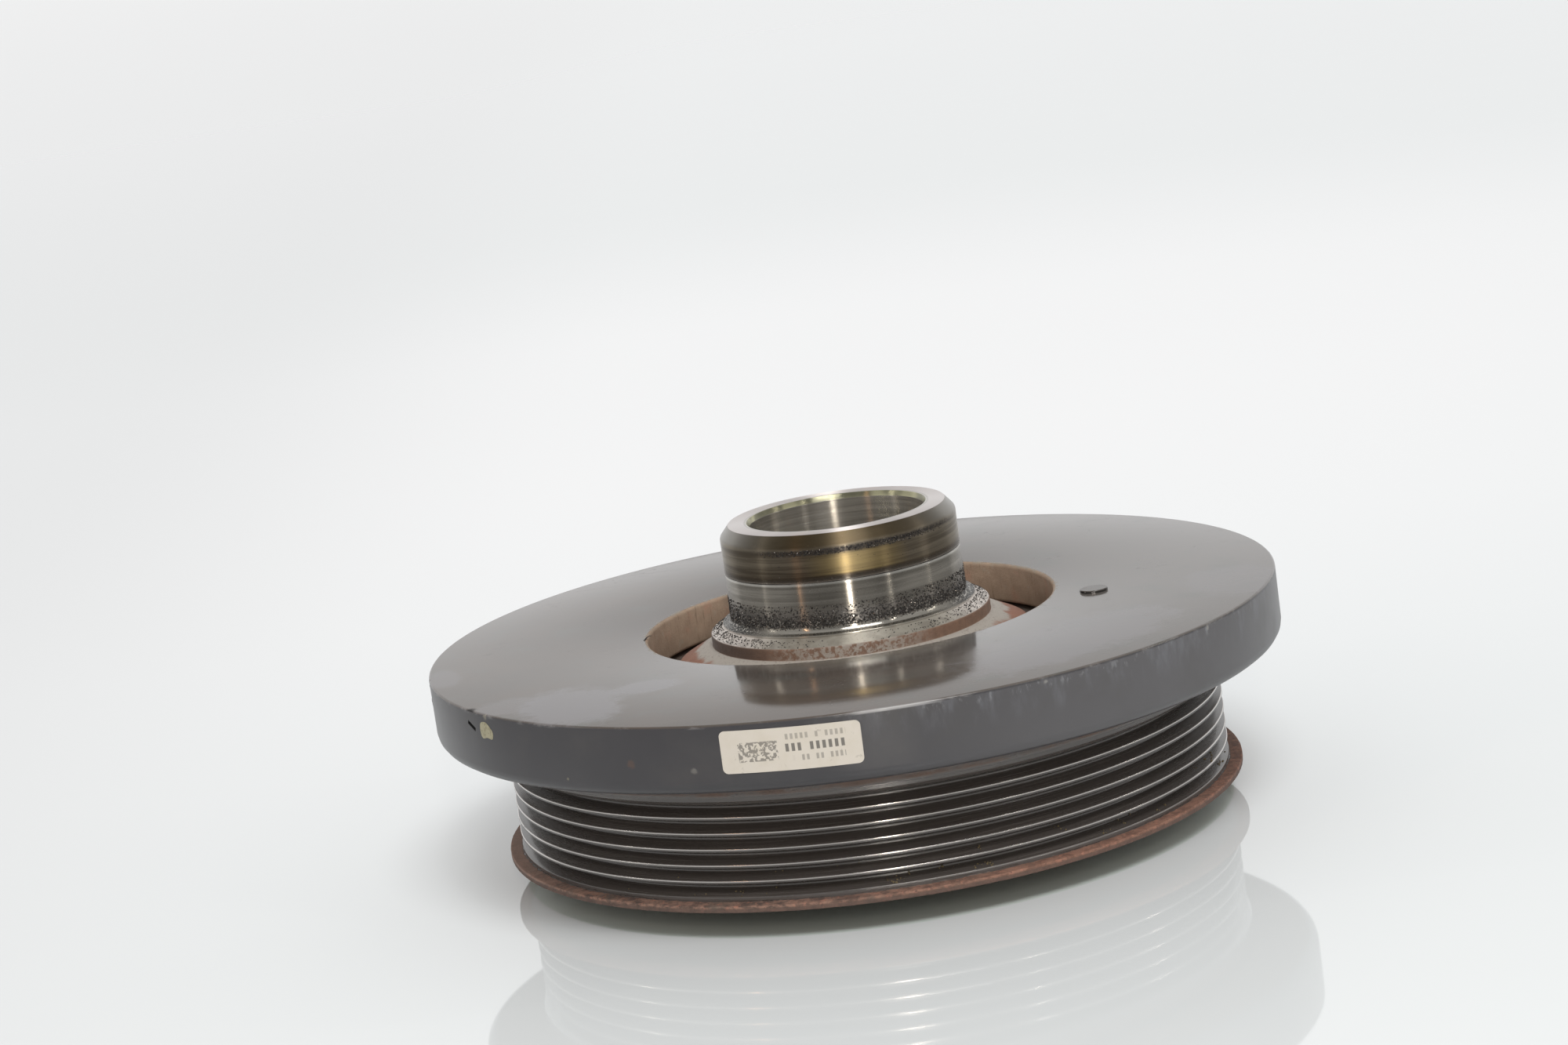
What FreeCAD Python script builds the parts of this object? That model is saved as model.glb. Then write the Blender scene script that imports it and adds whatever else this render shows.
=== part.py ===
import FreeCAD, Part
import math
import os

from FreeCAD import Vector

# Crankshaft pulley with a torsional vibration damper, all sizes in millimetres.
# The axis is Z, the engine side is up, and the hub's nose face lies at height 0.

# Belt grooves: six V-grooves of the PK belt section
groove_count = 6
groove_pitch = 3.56
groove_angle = 40.0
crest_width = 0.65
root_width = 0.5
crest_radius = 82.9

# Belt rim
nose_drop = 6.3
flange_radius = 86.0
flange_thickness = 1.85
flange_edge_round = 0.4
front_land = 0.95
lip_radius = 83.7
lip_height = 4.7
lip_round = 0.4
rim_wall = 4.6
pulley_web_thickness = 4.2
pulley_web_fillet = 3.0
pulley_neck_wall = 2.8
pulley_neck_height = 21.7
pulley_neck_round = 1.5

# Inertia ring
ring_radius = 98.3
ring_bore_radius = 47.2
ring_disc_thickness = 9.5
ring_top_round = 0.6
ring_bottom_round = 3.0
ring_bore_round = 0.9
skirt_drop = 5.9
skirt_overhang = 1.0
rim_gap = 1.5
leg_gap = 8.5
leg_length = 26.9
leg_round = 1.0

# Short gouge in the ring's side, below its upper edge
gouge_azimuth = -150.7
gouge_drop = 3.5
gouge_length = 3.7
gouge_width = 0.95
gouge_depth = 0.5
gouge_slant = 22.0

# Hub
nose_radius = 34.0
nose_chamfer = 0.8
recess_radius = 24.0
bolt_flange_thickness = 12.0
hub_web_thickness = 6.4
hub_web_gap = 1.0
hub_web_fillet = 2.0
hub_rim_wall = 3.75
hub_rim_chamfer = 0.5
hub_rim_end_round = 0.5
shoulder_radius = 41.2
shoulder_side_height = 3.3
shoulder_drop = 3.9
shoulder_round = 0.8
shoulder_ledge = 0.8
collar_radius = 32.6
collar_height = 2.7
collar_round = 0.5
collar_rise = 1.6
foot_radius = 29.4
foot_height = 0.5
foot_fillet = 1.4
sleeve_length = 22.4
sleeve_radius = 27.4
lead_in_radius = 25.2
lead_in_length = 2.6
bore_radius = 20.3
bore_depth = 37.4
bore_lead_in_radius = 20.85
bore_lead_in_length = 1.2
relief_depth = 0.4
relief_length = 2.0
bolt_count = 4
first_bolt_azimuth = 45.0
bolt_circle_diameter = 27.0
bolt_hole_radius = 5.25
bolt_hole_chamfer = 0.8

# Rubber rings and the pieces bonded to them
damper_rubber_thickness = 3.2
damper_rubber_height = 22.0
damper_rubber_drop = 2.0
decoupler_rubber_thickness = 7.0
decoupler_rubber_height = 20.0
decoupler_hollow_radius = 3.0
decoupler_hollow_depth = 1.6
decoupler_sleeve_height = 22.0
decoupler_base = 4.6
inner_sleeve_wall = 2.0
outer_sleeve_wall = 1.6

# Plain bearing between pulley and hub
bush_wall = 1.8
bush_height = 14.0
bush_slit = 1.2
bush_clearance = 0.05
thrust_ring_thickness = 2.0
thrust_ring_width = 5.4
thrust_clearance = 0.1

# Balance pin in the ring's top
pin_circle_radius = 57.5
pin_azimuth = -14.4
pin_head_radius = 3.2
pin_head_height = 0.6
pin_head_round = 0.25
pin_shank_radius = 2.5
pin_shank_length = 6.0

# Sticker on the ring's side
label_azimuth = -99.4
label_width = 29.9
label_height = 9.2
label_centre_drop = 6.2
label_corner = 1.2
label_thickness = 0.15
label_tilt = -0.6

# Radii worked out from the hub outwards
inner_sleeve_radius = nose_radius + inner_sleeve_wall
rubber_outer_radius = inner_sleeve_radius + decoupler_rubber_thickness
neck_inner_radius = rubber_outer_radius + outer_sleeve_wall
neck_outer_radius = neck_inner_radius + pulley_neck_wall
bush_outer_radius = neck_outer_radius + bush_wall
hub_rim_inner_radius = bush_outer_radius + bush_clearance
hub_rim_outer_radius = hub_rim_inner_radius + hub_rim_wall
leg_inner_radius = hub_rim_outer_radius + damper_rubber_thickness
groove_slope = math.tan(math.radians(groove_angle / 2.0))
groove_width = groove_pitch - crest_width
groove_depth = (groove_width - root_width) / 2.0 / groove_slope
root_radius = crest_radius - groove_depth
rim_inner_radius = root_radius - rim_wall
leg_outer_radius = rim_inner_radius - leg_gap
skirt_inner_radius = rim_inner_radius - skirt_overhang

# Heights worked out from the nose face upwards
flange_top = nose_drop + flange_thickness
first_groove = flange_top + front_land
last_groove_end = first_groove + (groove_count - 1) * groove_pitch + groove_width
lip_top = last_groove_end + lip_height
pulley_web_top = nose_drop + pulley_web_thickness
neck_top = nose_drop + pulley_neck_height
thrust_ring_top = pulley_web_top + thrust_ring_thickness
hub_rim_end = thrust_ring_top + thrust_clearance
skirt_bottom = lip_top + rim_gap
disc_bottom = skirt_bottom + skirt_drop
disc_top = disc_bottom + ring_disc_thickness
leg_bottom = disc_bottom - leg_length
hub_web_top = disc_bottom - hub_web_gap
hub_web_bottom = hub_web_top - hub_web_thickness
shoulder_edge = hub_web_top + shoulder_side_height
shoulder_top = shoulder_edge + shoulder_drop
collar_edge = shoulder_top + collar_height
foot_bottom = collar_edge + collar_rise
foot_top = foot_bottom + foot_height
sleeve_top = foot_top + sleeve_length
bore_seat = sleeve_top - bore_depth
recess_top = bore_seat - bolt_flange_thickness
damper_rubber_top = hub_web_top - damper_rubber_drop

axis_start = Vector(0, 0, 0)
up = Vector(0, 0, 1)
shortest_edge = 1e-6


def corner_point(radius, height):
    """A point of a turned profile, in the XZ plane."""
    return Vector(radius, 0, height)


def profile_wire(corners):
    """A closed profile through (radius, height, corner round) triples."""
    count = len(corners)
    starts = []
    ends = []
    edges = []
    for index in range(count):
        here = corner_point(*corners[index][:2])
        before = corner_point(*corners[index - 1][:2]).sub(here)
        after = corner_point(*corners[(index + 1) % count][:2]).sub(here)
        size = corners[index][2]
        if size < shortest_edge:
            starts.append(here)
            ends.append(here)
            continue
        half_angle = before.getAngle(after) / 2.0
        reach = size / math.tan(half_angle)
        start = here.add(before.normalize().multiply(reach))
        end = here.add(after.normalize().multiply(reach))
        inward = start.add(end).multiply(0.5).sub(here).normalize()
        middle = here.add(inward.multiply(size / math.sin(half_angle) - size))
        edges.append(Part.Arc(start, middle, end).toShape())
        starts.append(start)
        ends.append(end)
    for index in range(count):
        start = ends[index - 1]
        end = starts[index]
        if start.distanceToPoint(end) > shortest_edge:
            edges.append(Part.LineSegment(start, end).toShape())
    return Part.Wire(Part.__sortEdges__(edges))


def turned(corners):
    """A solid turned about the axis from a profile of rounded corners."""
    face = Part.Face(profile_wire(corners))
    return face.revolve(axis_start, up, 360)


def tube(inner, outer, bottom, top):
    """A plain ring between two radii and two heights."""
    return turned([
        (inner, bottom, 0),
        (outer, bottom, 0),
        (outer, top, 0),
        (inner, top, 0),
    ])


def polar(radius, azimuth, height):
    """A point given by its radius, its angle in degrees and its height."""
    angle = math.radians(azimuth)
    return Vector(radius * math.cos(angle), radius * math.sin(angle), height)


def groove_corners():
    """The V-groove profile from the front land up to the lip."""
    corners = []
    for index in range(groove_count):
        low = first_groove + index * groove_pitch
        flank = groove_depth * groove_slope
        corners.append((crest_radius, low, 0))
        corners.append((root_radius, low + flank, 0))
        corners.append((root_radius, low + flank + root_width, 0))
        corners.append((crest_radius, low + groove_width, 0))
    return corners


def make_belt_pulley():
    """Belt rim, front flange, web and the neck that sits on the decoupler."""
    front = [
        (neck_inner_radius, nose_drop, 0),
        (flange_radius, nose_drop, flange_edge_round),
        (flange_radius, flange_top, flange_edge_round),
        (crest_radius, flange_top, 0),
    ]
    lip = [
        (lip_radius, last_groove_end + lip_radius - crest_radius, 0),
        (lip_radius, lip_top, lip_round),
        (rim_inner_radius, lip_top, lip_round),
    ]
    inside = [
        (rim_inner_radius, pulley_web_top, pulley_web_fillet),
        (neck_outer_radius, pulley_web_top, 0),
        (neck_outer_radius, neck_top, pulley_neck_round),
        (neck_inner_radius, neck_top, 0),
    ]
    return turned(front + groove_corners() + lip + inside)


def make_inertia_ring():
    """Heavy ring: flat disc, outer skirt and the leg inside the belt rim."""
    ring = turned([
        (ring_bore_radius, disc_bottom, ring_bore_round),
        (leg_inner_radius, disc_bottom, 0),
        (leg_inner_radius, leg_bottom, leg_round),
        (leg_outer_radius, leg_bottom, leg_round),
        (leg_outer_radius, disc_bottom, 0),
        (skirt_inner_radius, disc_bottom, 0),
        (skirt_inner_radius, skirt_bottom, 0),
        (ring_radius, skirt_bottom, ring_bottom_round),
        (ring_radius, disc_top, ring_top_round),
        (ring_bore_radius, disc_top, ring_bore_round),
    ])
    pin_seat = polar(pin_circle_radius, pin_azimuth, disc_top - pin_shank_length)
    pin_hole = Part.makeCylinder(pin_shank_radius, pin_shank_length, pin_seat)
    return ring.cut(pin_hole).cut(side_gouge())


def side_gouge():
    """The slanting cut that a knock left in the ring's side."""
    gouge = Part.makeBox(
        2.0 * gouge_depth, gouge_length, gouge_width,
        Vector(-gouge_depth, -gouge_length / 2.0, -gouge_width / 2.0)
    )
    gouge.rotate(axis_start, Vector(1, 0, 0), -gouge_slant)
    gouge.translate(Vector(ring_radius, 0, disc_top - gouge_drop))
    gouge.rotate(axis_start, up, gouge_azimuth)
    return gouge


def bolt_holes():
    """The bolt holes through the hub's inner flange, as a pattern about the axis."""
    holes = []
    for index in range(bolt_count):
        azimuth = first_bolt_azimuth + index * 360.0 / bolt_count
        foot = polar(bolt_circle_diameter / 2.0, azimuth, recess_top)
        hole = Part.makeCylinder(bolt_hole_radius, bolt_flange_thickness, foot)
        cone = Part.makeCone(
            bolt_hole_radius + bolt_hole_chamfer, bolt_hole_radius, bolt_hole_chamfer, foot
        )
        holes.append(hole.fuse(cone))
    return holes


def make_hub():
    """Turned steel hub: seal sleeve, collar, coned shoulder, web, rim and nose."""
    sleeve = [
        (0, bore_seat, 0),
        (bore_radius + relief_depth, bore_seat, 0),
        (bore_radius + relief_depth, bore_seat + relief_length, 0),
        (bore_radius, bore_seat + relief_length + relief_depth, 0),
        (bore_radius, sleeve_top - bore_lead_in_length, 0),
        (bore_lead_in_radius, sleeve_top, 0),
        (lead_in_radius, sleeve_top, 0),
        (sleeve_radius, sleeve_top - lead_in_length, 0),
        (sleeve_radius, foot_top, foot_fillet),
        (foot_radius, foot_top, 0),
        (foot_radius, foot_bottom, 0),
    ]
    collar = [
        (collar_radius, collar_edge, collar_round),
        (collar_radius, shoulder_top, 0),
        (collar_radius + shoulder_ledge, shoulder_top, 0),
        (shoulder_radius, shoulder_edge, shoulder_round),
        (shoulder_radius, hub_web_top, shoulder_round),
    ]
    rim = [
        (hub_rim_outer_radius - hub_rim_chamfer, hub_web_top, 0),
        (hub_rim_outer_radius, hub_web_top - hub_rim_chamfer, 0),
        (hub_rim_outer_radius, hub_rim_end, 0),
        (hub_rim_inner_radius, hub_rim_end, hub_rim_end_round),
        (hub_rim_inner_radius, hub_web_bottom, hub_web_fillet),
    ]
    nose = [
        (nose_radius, hub_web_bottom, hub_web_fillet),
        (nose_radius, nose_chamfer, 0),
        (nose_radius - nose_chamfer, 0, 0),
        (recess_radius + nose_chamfer, 0, 0),
        (recess_radius, nose_chamfer, 0),
        (recess_radius, recess_top, hub_web_fillet),
        (0, recess_top, 0),
    ]
    hub = turned(sleeve + collar + rim + nose)
    for hole in bolt_holes():
        hub = hub.cut(hole)
    return hub


def make_damper_rubber():
    """Rubber ring between the hub's rim and the leg of the inertia ring."""
    bottom = damper_rubber_top - damper_rubber_height
    return tube(hub_rim_outer_radius, leg_inner_radius, bottom, damper_rubber_top)


def make_decoupler_rubber():
    """Rubber ring between the two decoupler sleeves, hollowed at both ends."""
    bottom = decoupler_base + (decoupler_sleeve_height - decoupler_rubber_height) / 2.0
    top = bottom + decoupler_rubber_height
    rubber = tube(inner_sleeve_radius, rubber_outer_radius, bottom, top)
    middle_radius = (inner_sleeve_radius + rubber_outer_radius) / 2.0
    beyond = decoupler_hollow_radius - decoupler_hollow_depth
    for height in (bottom - beyond, top + beyond):
        hollow = Part.makeTorus(middle_radius, decoupler_hollow_radius, Vector(0, 0, height))
        rubber = rubber.cut(hollow)
    return rubber


def make_decoupler_inner_sleeve():
    """Steel tube pressed on the hub's nose."""
    top = decoupler_base + decoupler_sleeve_height
    return tube(nose_radius, inner_sleeve_radius, decoupler_base, top)


def make_decoupler_outer_sleeve():
    """Steel tube pressed into the pulley's neck."""
    top = decoupler_base + decoupler_sleeve_height
    return tube(rubber_outer_radius, neck_inner_radius, decoupler_base, top)


def make_bearing_bush():
    """Split plastic bush between the pulley's neck and the hub's rim."""
    top = neck_top - pulley_neck_round
    bush = tube(neck_outer_radius, bush_outer_radius, top - bush_height, top)
    slit = Part.makeBox(
        bush_outer_radius, bush_slit, bush_height,
        Vector(0, -bush_slit / 2.0, top - bush_height)
    )
    return bush.cut(slit)


def make_thrust_ring():
    """Plastic ring between the pulley's web and the end of the hub's rim."""
    outer = neck_outer_radius + bush_clearance + thrust_ring_width
    return tube(neck_outer_radius + bush_clearance, outer, pulley_web_top, thrust_ring_top)


def make_balance_pin():
    """Headed pin driven into the top of the inertia ring."""
    pin = turned([
        (0, disc_top - pin_shank_length, 0),
        (pin_shank_radius, disc_top - pin_shank_length, 0),
        (pin_shank_radius, disc_top, 0),
        (pin_head_radius, disc_top, 0),
        (pin_head_radius, disc_top + pin_head_height, pin_head_round),
        (0, disc_top + pin_head_height, 0),
    ])
    pin.translate(polar(pin_circle_radius, pin_azimuth, 0))
    return pin


def make_label():
    """Thin sticker that follows the curve of the ring's side."""
    centre = disc_top - label_centre_drop
    reach = ring_radius + 2 * label_thickness
    block = Part.makeBox(
        reach, label_width, label_height,
        Vector(0, -label_width / 2.0, centre - label_height / 2.0)
    )
    lengthwise = [edge for edge in block.Edges if abs(edge.tangentAt(0).x) > 0.5]
    block = block.makeFillet(label_corner, lengthwise)
    block.rotate(Vector(0, 0, centre), Vector(1, 0, 0), label_tilt)
    band = tube(
        ring_radius, ring_radius + label_thickness,
        centre - label_height, centre + label_height
    )
    label = band.common(block)
    label.rotate(axis_start, up, label_azimuth)
    return label


pieces = {
    "hub": make_hub,
    "inertia_ring": make_inertia_ring,
    "damper_rubber": make_damper_rubber,
    "belt_pulley": make_belt_pulley,
    "decoupler_rubber": make_decoupler_rubber,
    "decoupler_inner_sleeve": make_decoupler_inner_sleeve,
    "decoupler_outer_sleeve": make_decoupler_outer_sleeve,
    "bearing_bush": make_bearing_bush,
    "thrust_ring": make_thrust_ring,
    "balance_pin": make_balance_pin,
    "label": make_label,
}

os.makedirs("parts", exist_ok=True)
for name, make in pieces.items():
    make().exportStep("parts/" + name + ".step")
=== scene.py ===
import math

import bmesh
import bpy
from mathutils import Matrix, Vector


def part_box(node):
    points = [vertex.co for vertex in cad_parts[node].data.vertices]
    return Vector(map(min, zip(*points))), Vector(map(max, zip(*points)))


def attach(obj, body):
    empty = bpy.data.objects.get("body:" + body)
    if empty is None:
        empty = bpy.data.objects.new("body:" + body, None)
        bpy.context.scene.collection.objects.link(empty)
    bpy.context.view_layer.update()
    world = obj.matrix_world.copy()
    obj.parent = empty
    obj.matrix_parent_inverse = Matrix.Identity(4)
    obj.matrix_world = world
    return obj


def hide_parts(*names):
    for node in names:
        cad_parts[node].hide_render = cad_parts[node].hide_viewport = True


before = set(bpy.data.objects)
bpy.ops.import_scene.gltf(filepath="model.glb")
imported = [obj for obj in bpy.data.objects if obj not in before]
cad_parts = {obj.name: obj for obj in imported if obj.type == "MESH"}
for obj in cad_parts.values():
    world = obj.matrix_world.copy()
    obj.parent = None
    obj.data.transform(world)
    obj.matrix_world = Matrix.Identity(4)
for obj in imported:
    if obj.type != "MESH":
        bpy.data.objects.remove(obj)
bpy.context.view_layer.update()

MM = 0.001

# Camera: fitted to the photograph, in its own frame of 2000 by 1333 pixels
photo_width = 2000
sensor_width = 36.0
focal_length_px = 4897.5
camera_distance = 895.16
camera_elevation = math.radians(13.7004)
camera_aim_height = 26.9
camera_pan = -0.01379
camera_tilt = 0.05197
camera_roll = math.radians(-7.8845)
camera_clip = (0.05, 100.0)

# Studio: softboxes with azimuth and elevation in degrees, width in metres, power in watts and colour
softbox_distance = 1.3
softbox_height = 0.5
softboxes = (
    ("main_softbox", -87.5, 18.0, 0.06, 3.4, "#fff6ea"),
    ("right_front_strip", -47.5, 25.0, 0.02, 0.5, "#fffaf2"),
    ("left_front_strip", -136.0, 25.0, 0.02, 0.45, "#ffc89c"),
    ("left_strip", -176.0, 25.0, 0.02, 0.5, "#fffaf2"),
    ("right_strip", -1.0, 25.0, 0.02, 0.5, "#fffaf2"),
)

# Two soft high lights from the front, turned to its right
high_light_elevation = math.radians(56.0)
high_light_turns = (math.radians(3.0), math.radians(24.0))
high_light_angle = math.radians(18.0)
high_light_strength = 0.8

# Table: its half width in metres, and where its painted light and painted shade fall, in millimetres from
# nothing to full
floor_reach = 40.0
lit_floor_centre = (0.0, 700.0, 0.0)
lit_floor_fade = (800.0, 150.0)
left_floor_shade = (-70.0, -330.0)

# Surroundings by the Y of the direction: from, to, and the brightness added at either end
front_to_side = (-0.95, -0.3, 0.3, 0.5)
side_to_backdrop = (0.5, 0.68, 0.0, 0.38)

# How finely the pieces are turned, in steps or millimetres
round_steps = 4
rough_step = 0.35
weld_distance = 0.002
rim_segments = 560
ring_segments = 720
hub_segments = 400
bolt_hole_segments = 48
sharp_angle = math.radians(36.0)

# Grooved belt rim, in millimetres
groove_count = 6
groove_pitch = 3.56
groove_width = 2.91
root_width = 0.5
groove_angle = math.radians(40.0)
crest_radius = 82.9
crest_round = 0.14
root_round = 0.2
front_land = 0.95
flange_thickness = 1.85
flange_edge_round = 0.4
lip_radius = 83.7
lip_height = 4.7
lip_round = 0.4
rim_wall = 4.6
pulley_web = 4.2
pulley_web_fillet = 3.0
pulley_neck_wall = 2.8
pulley_neck_height = 21.7
pulley_neck_round = 1.5
pulley_edge_round = 0.3
rim_pit_depth = 0.16
rim_pit_size = 1.4

# Inertia ring, in millimetres
ring_bore_radius = 47.2
ring_bore_round = 0.9
ring_disc = 9.5
ring_top_round = 0.6
ring_bottom_round = 3.0
skirt_overhang = 1.0
skirt_drop = 5.9
leg_gap = 8.5
leg_length = 26.9
leg_round = 1.0
ring_inner_round = 1.5
gouge_azimuth = math.radians(-150.7)
gouge_drop = 3.5
gouge_length = 3.7
gouge_width = 0.95
gouge_depth = 0.5
gouge_slant = math.radians(22.0)

# Hub, in millimetres
web_thickness = 6.4
web_gap = 1.0
web_fillet = 2.0
hub_rim_wall = 3.75
hub_rim_chamfer = 0.5
hub_rim_end_round = 0.5
nose_radius = 34.0
nose_chamfer = 0.8
recess_radius = 24.0
shoulder_radius = 41.2
shoulder_side = 3.3
shoulder_drop = 3.9
shoulder_round = 0.8
shoulder_ledge = 0.8
collar_radius = 32.6
collar_height = 2.7
collar_round = 0.5
collar_rise = 1.6
collar_foot_round = 0.2
foot_radius = 29.4
foot_height = 0.5
foot_round = 0.15
foot_fillet = 1.4
sleeve_radius = 27.4
seal_line_drop = 10.9
seal_line_depth = 0.08
seal_line_width = 0.25
lead_in_radius = 25.2
lead_in_length = 2.6
lead_in_round = 1.5
sleeve_end_round = 0.25
bore_radius = 20.3
bore_mouth_radius = 20.85
bore_mouth_depth = 1.2
bore_mouth_round = 0.12
bore_edge_round = 0.1
bore_depth = 37.4
relief_depth = 0.4
relief_length = 2.0
bolt_flange = 12.0
bolt_circle_radius = 13.5
bolt_hole_radius = 5.25
bolt_hole_chamfer = 0.8
bolt_count = 4
first_bolt_azimuth = math.radians(45.0)
bearing_clearance = 0.05
thrust_clearance = 0.1
hub_pit_depth = 0.1
hub_pit_size = 1.1

# Sticker on the ring's side, in millimetres
label_azimuth = math.radians(-99.4)
label_centre_drop = 6.2

# Print on the sticker, along and up from its centre: the block's left, right, low and high, and the
# rows' low, high, first and last place, bar pitch and darkness
label_block = (-11.2, -2.7, -2.2, 2.0)
label_rows = (
    (2.0, 3.2, -1.2, 11.8, 1.05, 0.45),
    (-0.6, 1.1, -1.2, 12.8, 1.3, 0.85),
    (-2.7, -1.5, -1.2, 11.4, 1.0, 0.5),
)

# Wiped smears on the ring's face: centre, half length and half width in millimetres, lean in degrees
# and strength
ring_smears = (
    (-63.0, -58.0, 11.0, 19.0, 9.0, 0.85),
    (-46.0, -49.0, 8.0, 6.0, 12.0, 0.85),
    (-77.0, -49.5, 8.0, 7.0, 30.0, 0.45),
    (46.0, -60.0, 30.0, 15.0, 42.0, 0.6),
    (88.0, -24.0, 12.0, 16.0, 20.0, 0.45),
    (-94.0, -13.0, 4.0, 9.0, 10.0, 0.5),
)

# Chips and spots on the ring's side: azimuth in degrees, height and size in millimetres, strength and
# colour
ring_marks = (
    (-39.5, 50.5, 0.5, 0.7, "#8f8d89"),
    (-67.0, 50.3, 0.35, 0.6, "#8f8d89"),
    (-112.0, 41.7, 0.6, 0.45, "#85827c"),
    (-120.6, 43.4, 0.9, 0.35, "#6a4f3f"),
    (-131.0, 39.5, 0.3, 0.4, "#a39c80"),
    (-146.6, 50.9, 0.6, 0.5, "#9a9484"),
)

# Paint splash on the ring's side, its outline in millimetres along and up
paint_thickness = 0.07
paint_azimuth = math.radians(-146.8)
paint_height = 47.44
paint_outline = (
    (-1.94, 1.91), (-0.02, 2.31), (1.22, 1.74), (2.37, 0.85), (3.06, -0.09), (2.47, -1.64),
    (1.13, -1.37), (0.15, -1.28), (-1.32, -1.78), (-2.25, -1.39), (-2.49, -0.23), (-2.4, 0.96),
)

# Torn strands of coating, in millimetres
flake_azimuth = math.radians(-173.5)
flake_thickness = 0.3
sliver_thickness = 0.4
strand_sides = 6
strand_taper = 0.8


def node_box(node):
    """Lowest and highest corner of a node of the frame, in millimetres."""
    return [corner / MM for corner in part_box(node)]


# Places read from the frame, in millimetres
ring_corner = node_box("inertia_ring")[1]
rim_low, rim_high = node_box("belt_pulley")
ring_radius = ring_corner.x
ring_top = ring_corner.z
disc_bottom = ring_top - ring_disc
skirt_bottom = disc_bottom - skirt_drop
leg_bottom = disc_bottom - leg_length
leg_inner = node_box("damper_rubber")[1].x
flange_radius = rim_high.x
flange_low = rim_low.z
flange_top = flange_low + flange_thickness
first_groove = flange_top + front_land
groove_depth = (groove_width - root_width) / 2.0 / math.tan(groove_angle / 2.0)
root_radius = crest_radius - groove_depth
last_groove_end = first_groove + (groove_count - 1) * groove_pitch + groove_width
lip_top = last_groove_end + lip_height
rim_inner = root_radius - rim_wall
pulley_web_top = flange_low + pulley_web
neck_inner = node_box("decoupler_outer_sleeve")[1].x
neck_outer = neck_inner + pulley_neck_wall
neck_top = flange_low + pulley_neck_height
leg_outer = rim_inner - leg_gap
skirt_inner = rim_inner - skirt_overhang
hub_rim_inner = node_box("bearing_bush")[1].x + bearing_clearance
hub_rim_outer = hub_rim_inner + hub_rim_wall
hub_rim_end = node_box("thrust_ring")[1].z + thrust_clearance
hub_web_top = disc_bottom - web_gap
hub_web_bottom = hub_web_top - web_thickness
shoulder_edge = hub_web_top + shoulder_side
shoulder_top = shoulder_edge + shoulder_drop
collar_edge = shoulder_top + collar_height
collar_top = collar_edge + collar_rise
foot_top = collar_top + foot_height
sleeve_top = node_box("hub")[1].z
lead_in_start = sleeve_top - lead_in_length
seal_line = sleeve_top - seal_line_drop
bore_seat = sleeve_top - bore_depth
recess_top = bore_seat - bolt_flange

# Points (radius, height) of the flakes at the ring's left edge, and (x, y, z) of the hole's sliver
upper_flake = (
    (98.0, ring_top - 0.1), (98.22, ring_top - 0.6), (98.28, ring_top - 1.4), (98.2, ring_top - 2.7),
)
lower_flake = ((98.2, 46.9), (98.26, 46.2), (98.28, 45.6), (98.2, 44.8))
sliver_route = (
    (-48.1, -1.3, ring_top - 0.1), (-47.5, 0.4, ring_top + 0.25), (-46.9, 1.8, ring_top + 0.3),
    (-46.5, 3.0, ring_top - 0.1),
)


def paint(code):
    """A colour as on a paint card, such as #4a4b50, in linear light."""
    channels = [int(code[place:place + 2], 16) / 255.0 for place in (1, 3, 5)]
    linear = [c / 12.92 if c <= 0.04045 else ((c + 0.055) / 1.055) ** 2.4 for c in channels]
    return (*linear, 1.0)


def polar(radius, azimuth, height):
    """A point of the pulley in metres, from millimetres and an angle."""
    return Vector((radius * math.cos(azimuth), radius * math.sin(azimuth), height)) * MM


def feed(tree, socket, value):
    """Joins an output to a socket, or sets the socket's own value."""
    if isinstance(value, bpy.types.NodeSocket):
        tree.links.new(value, socket)
    else:
        socket.default_value = value


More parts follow.
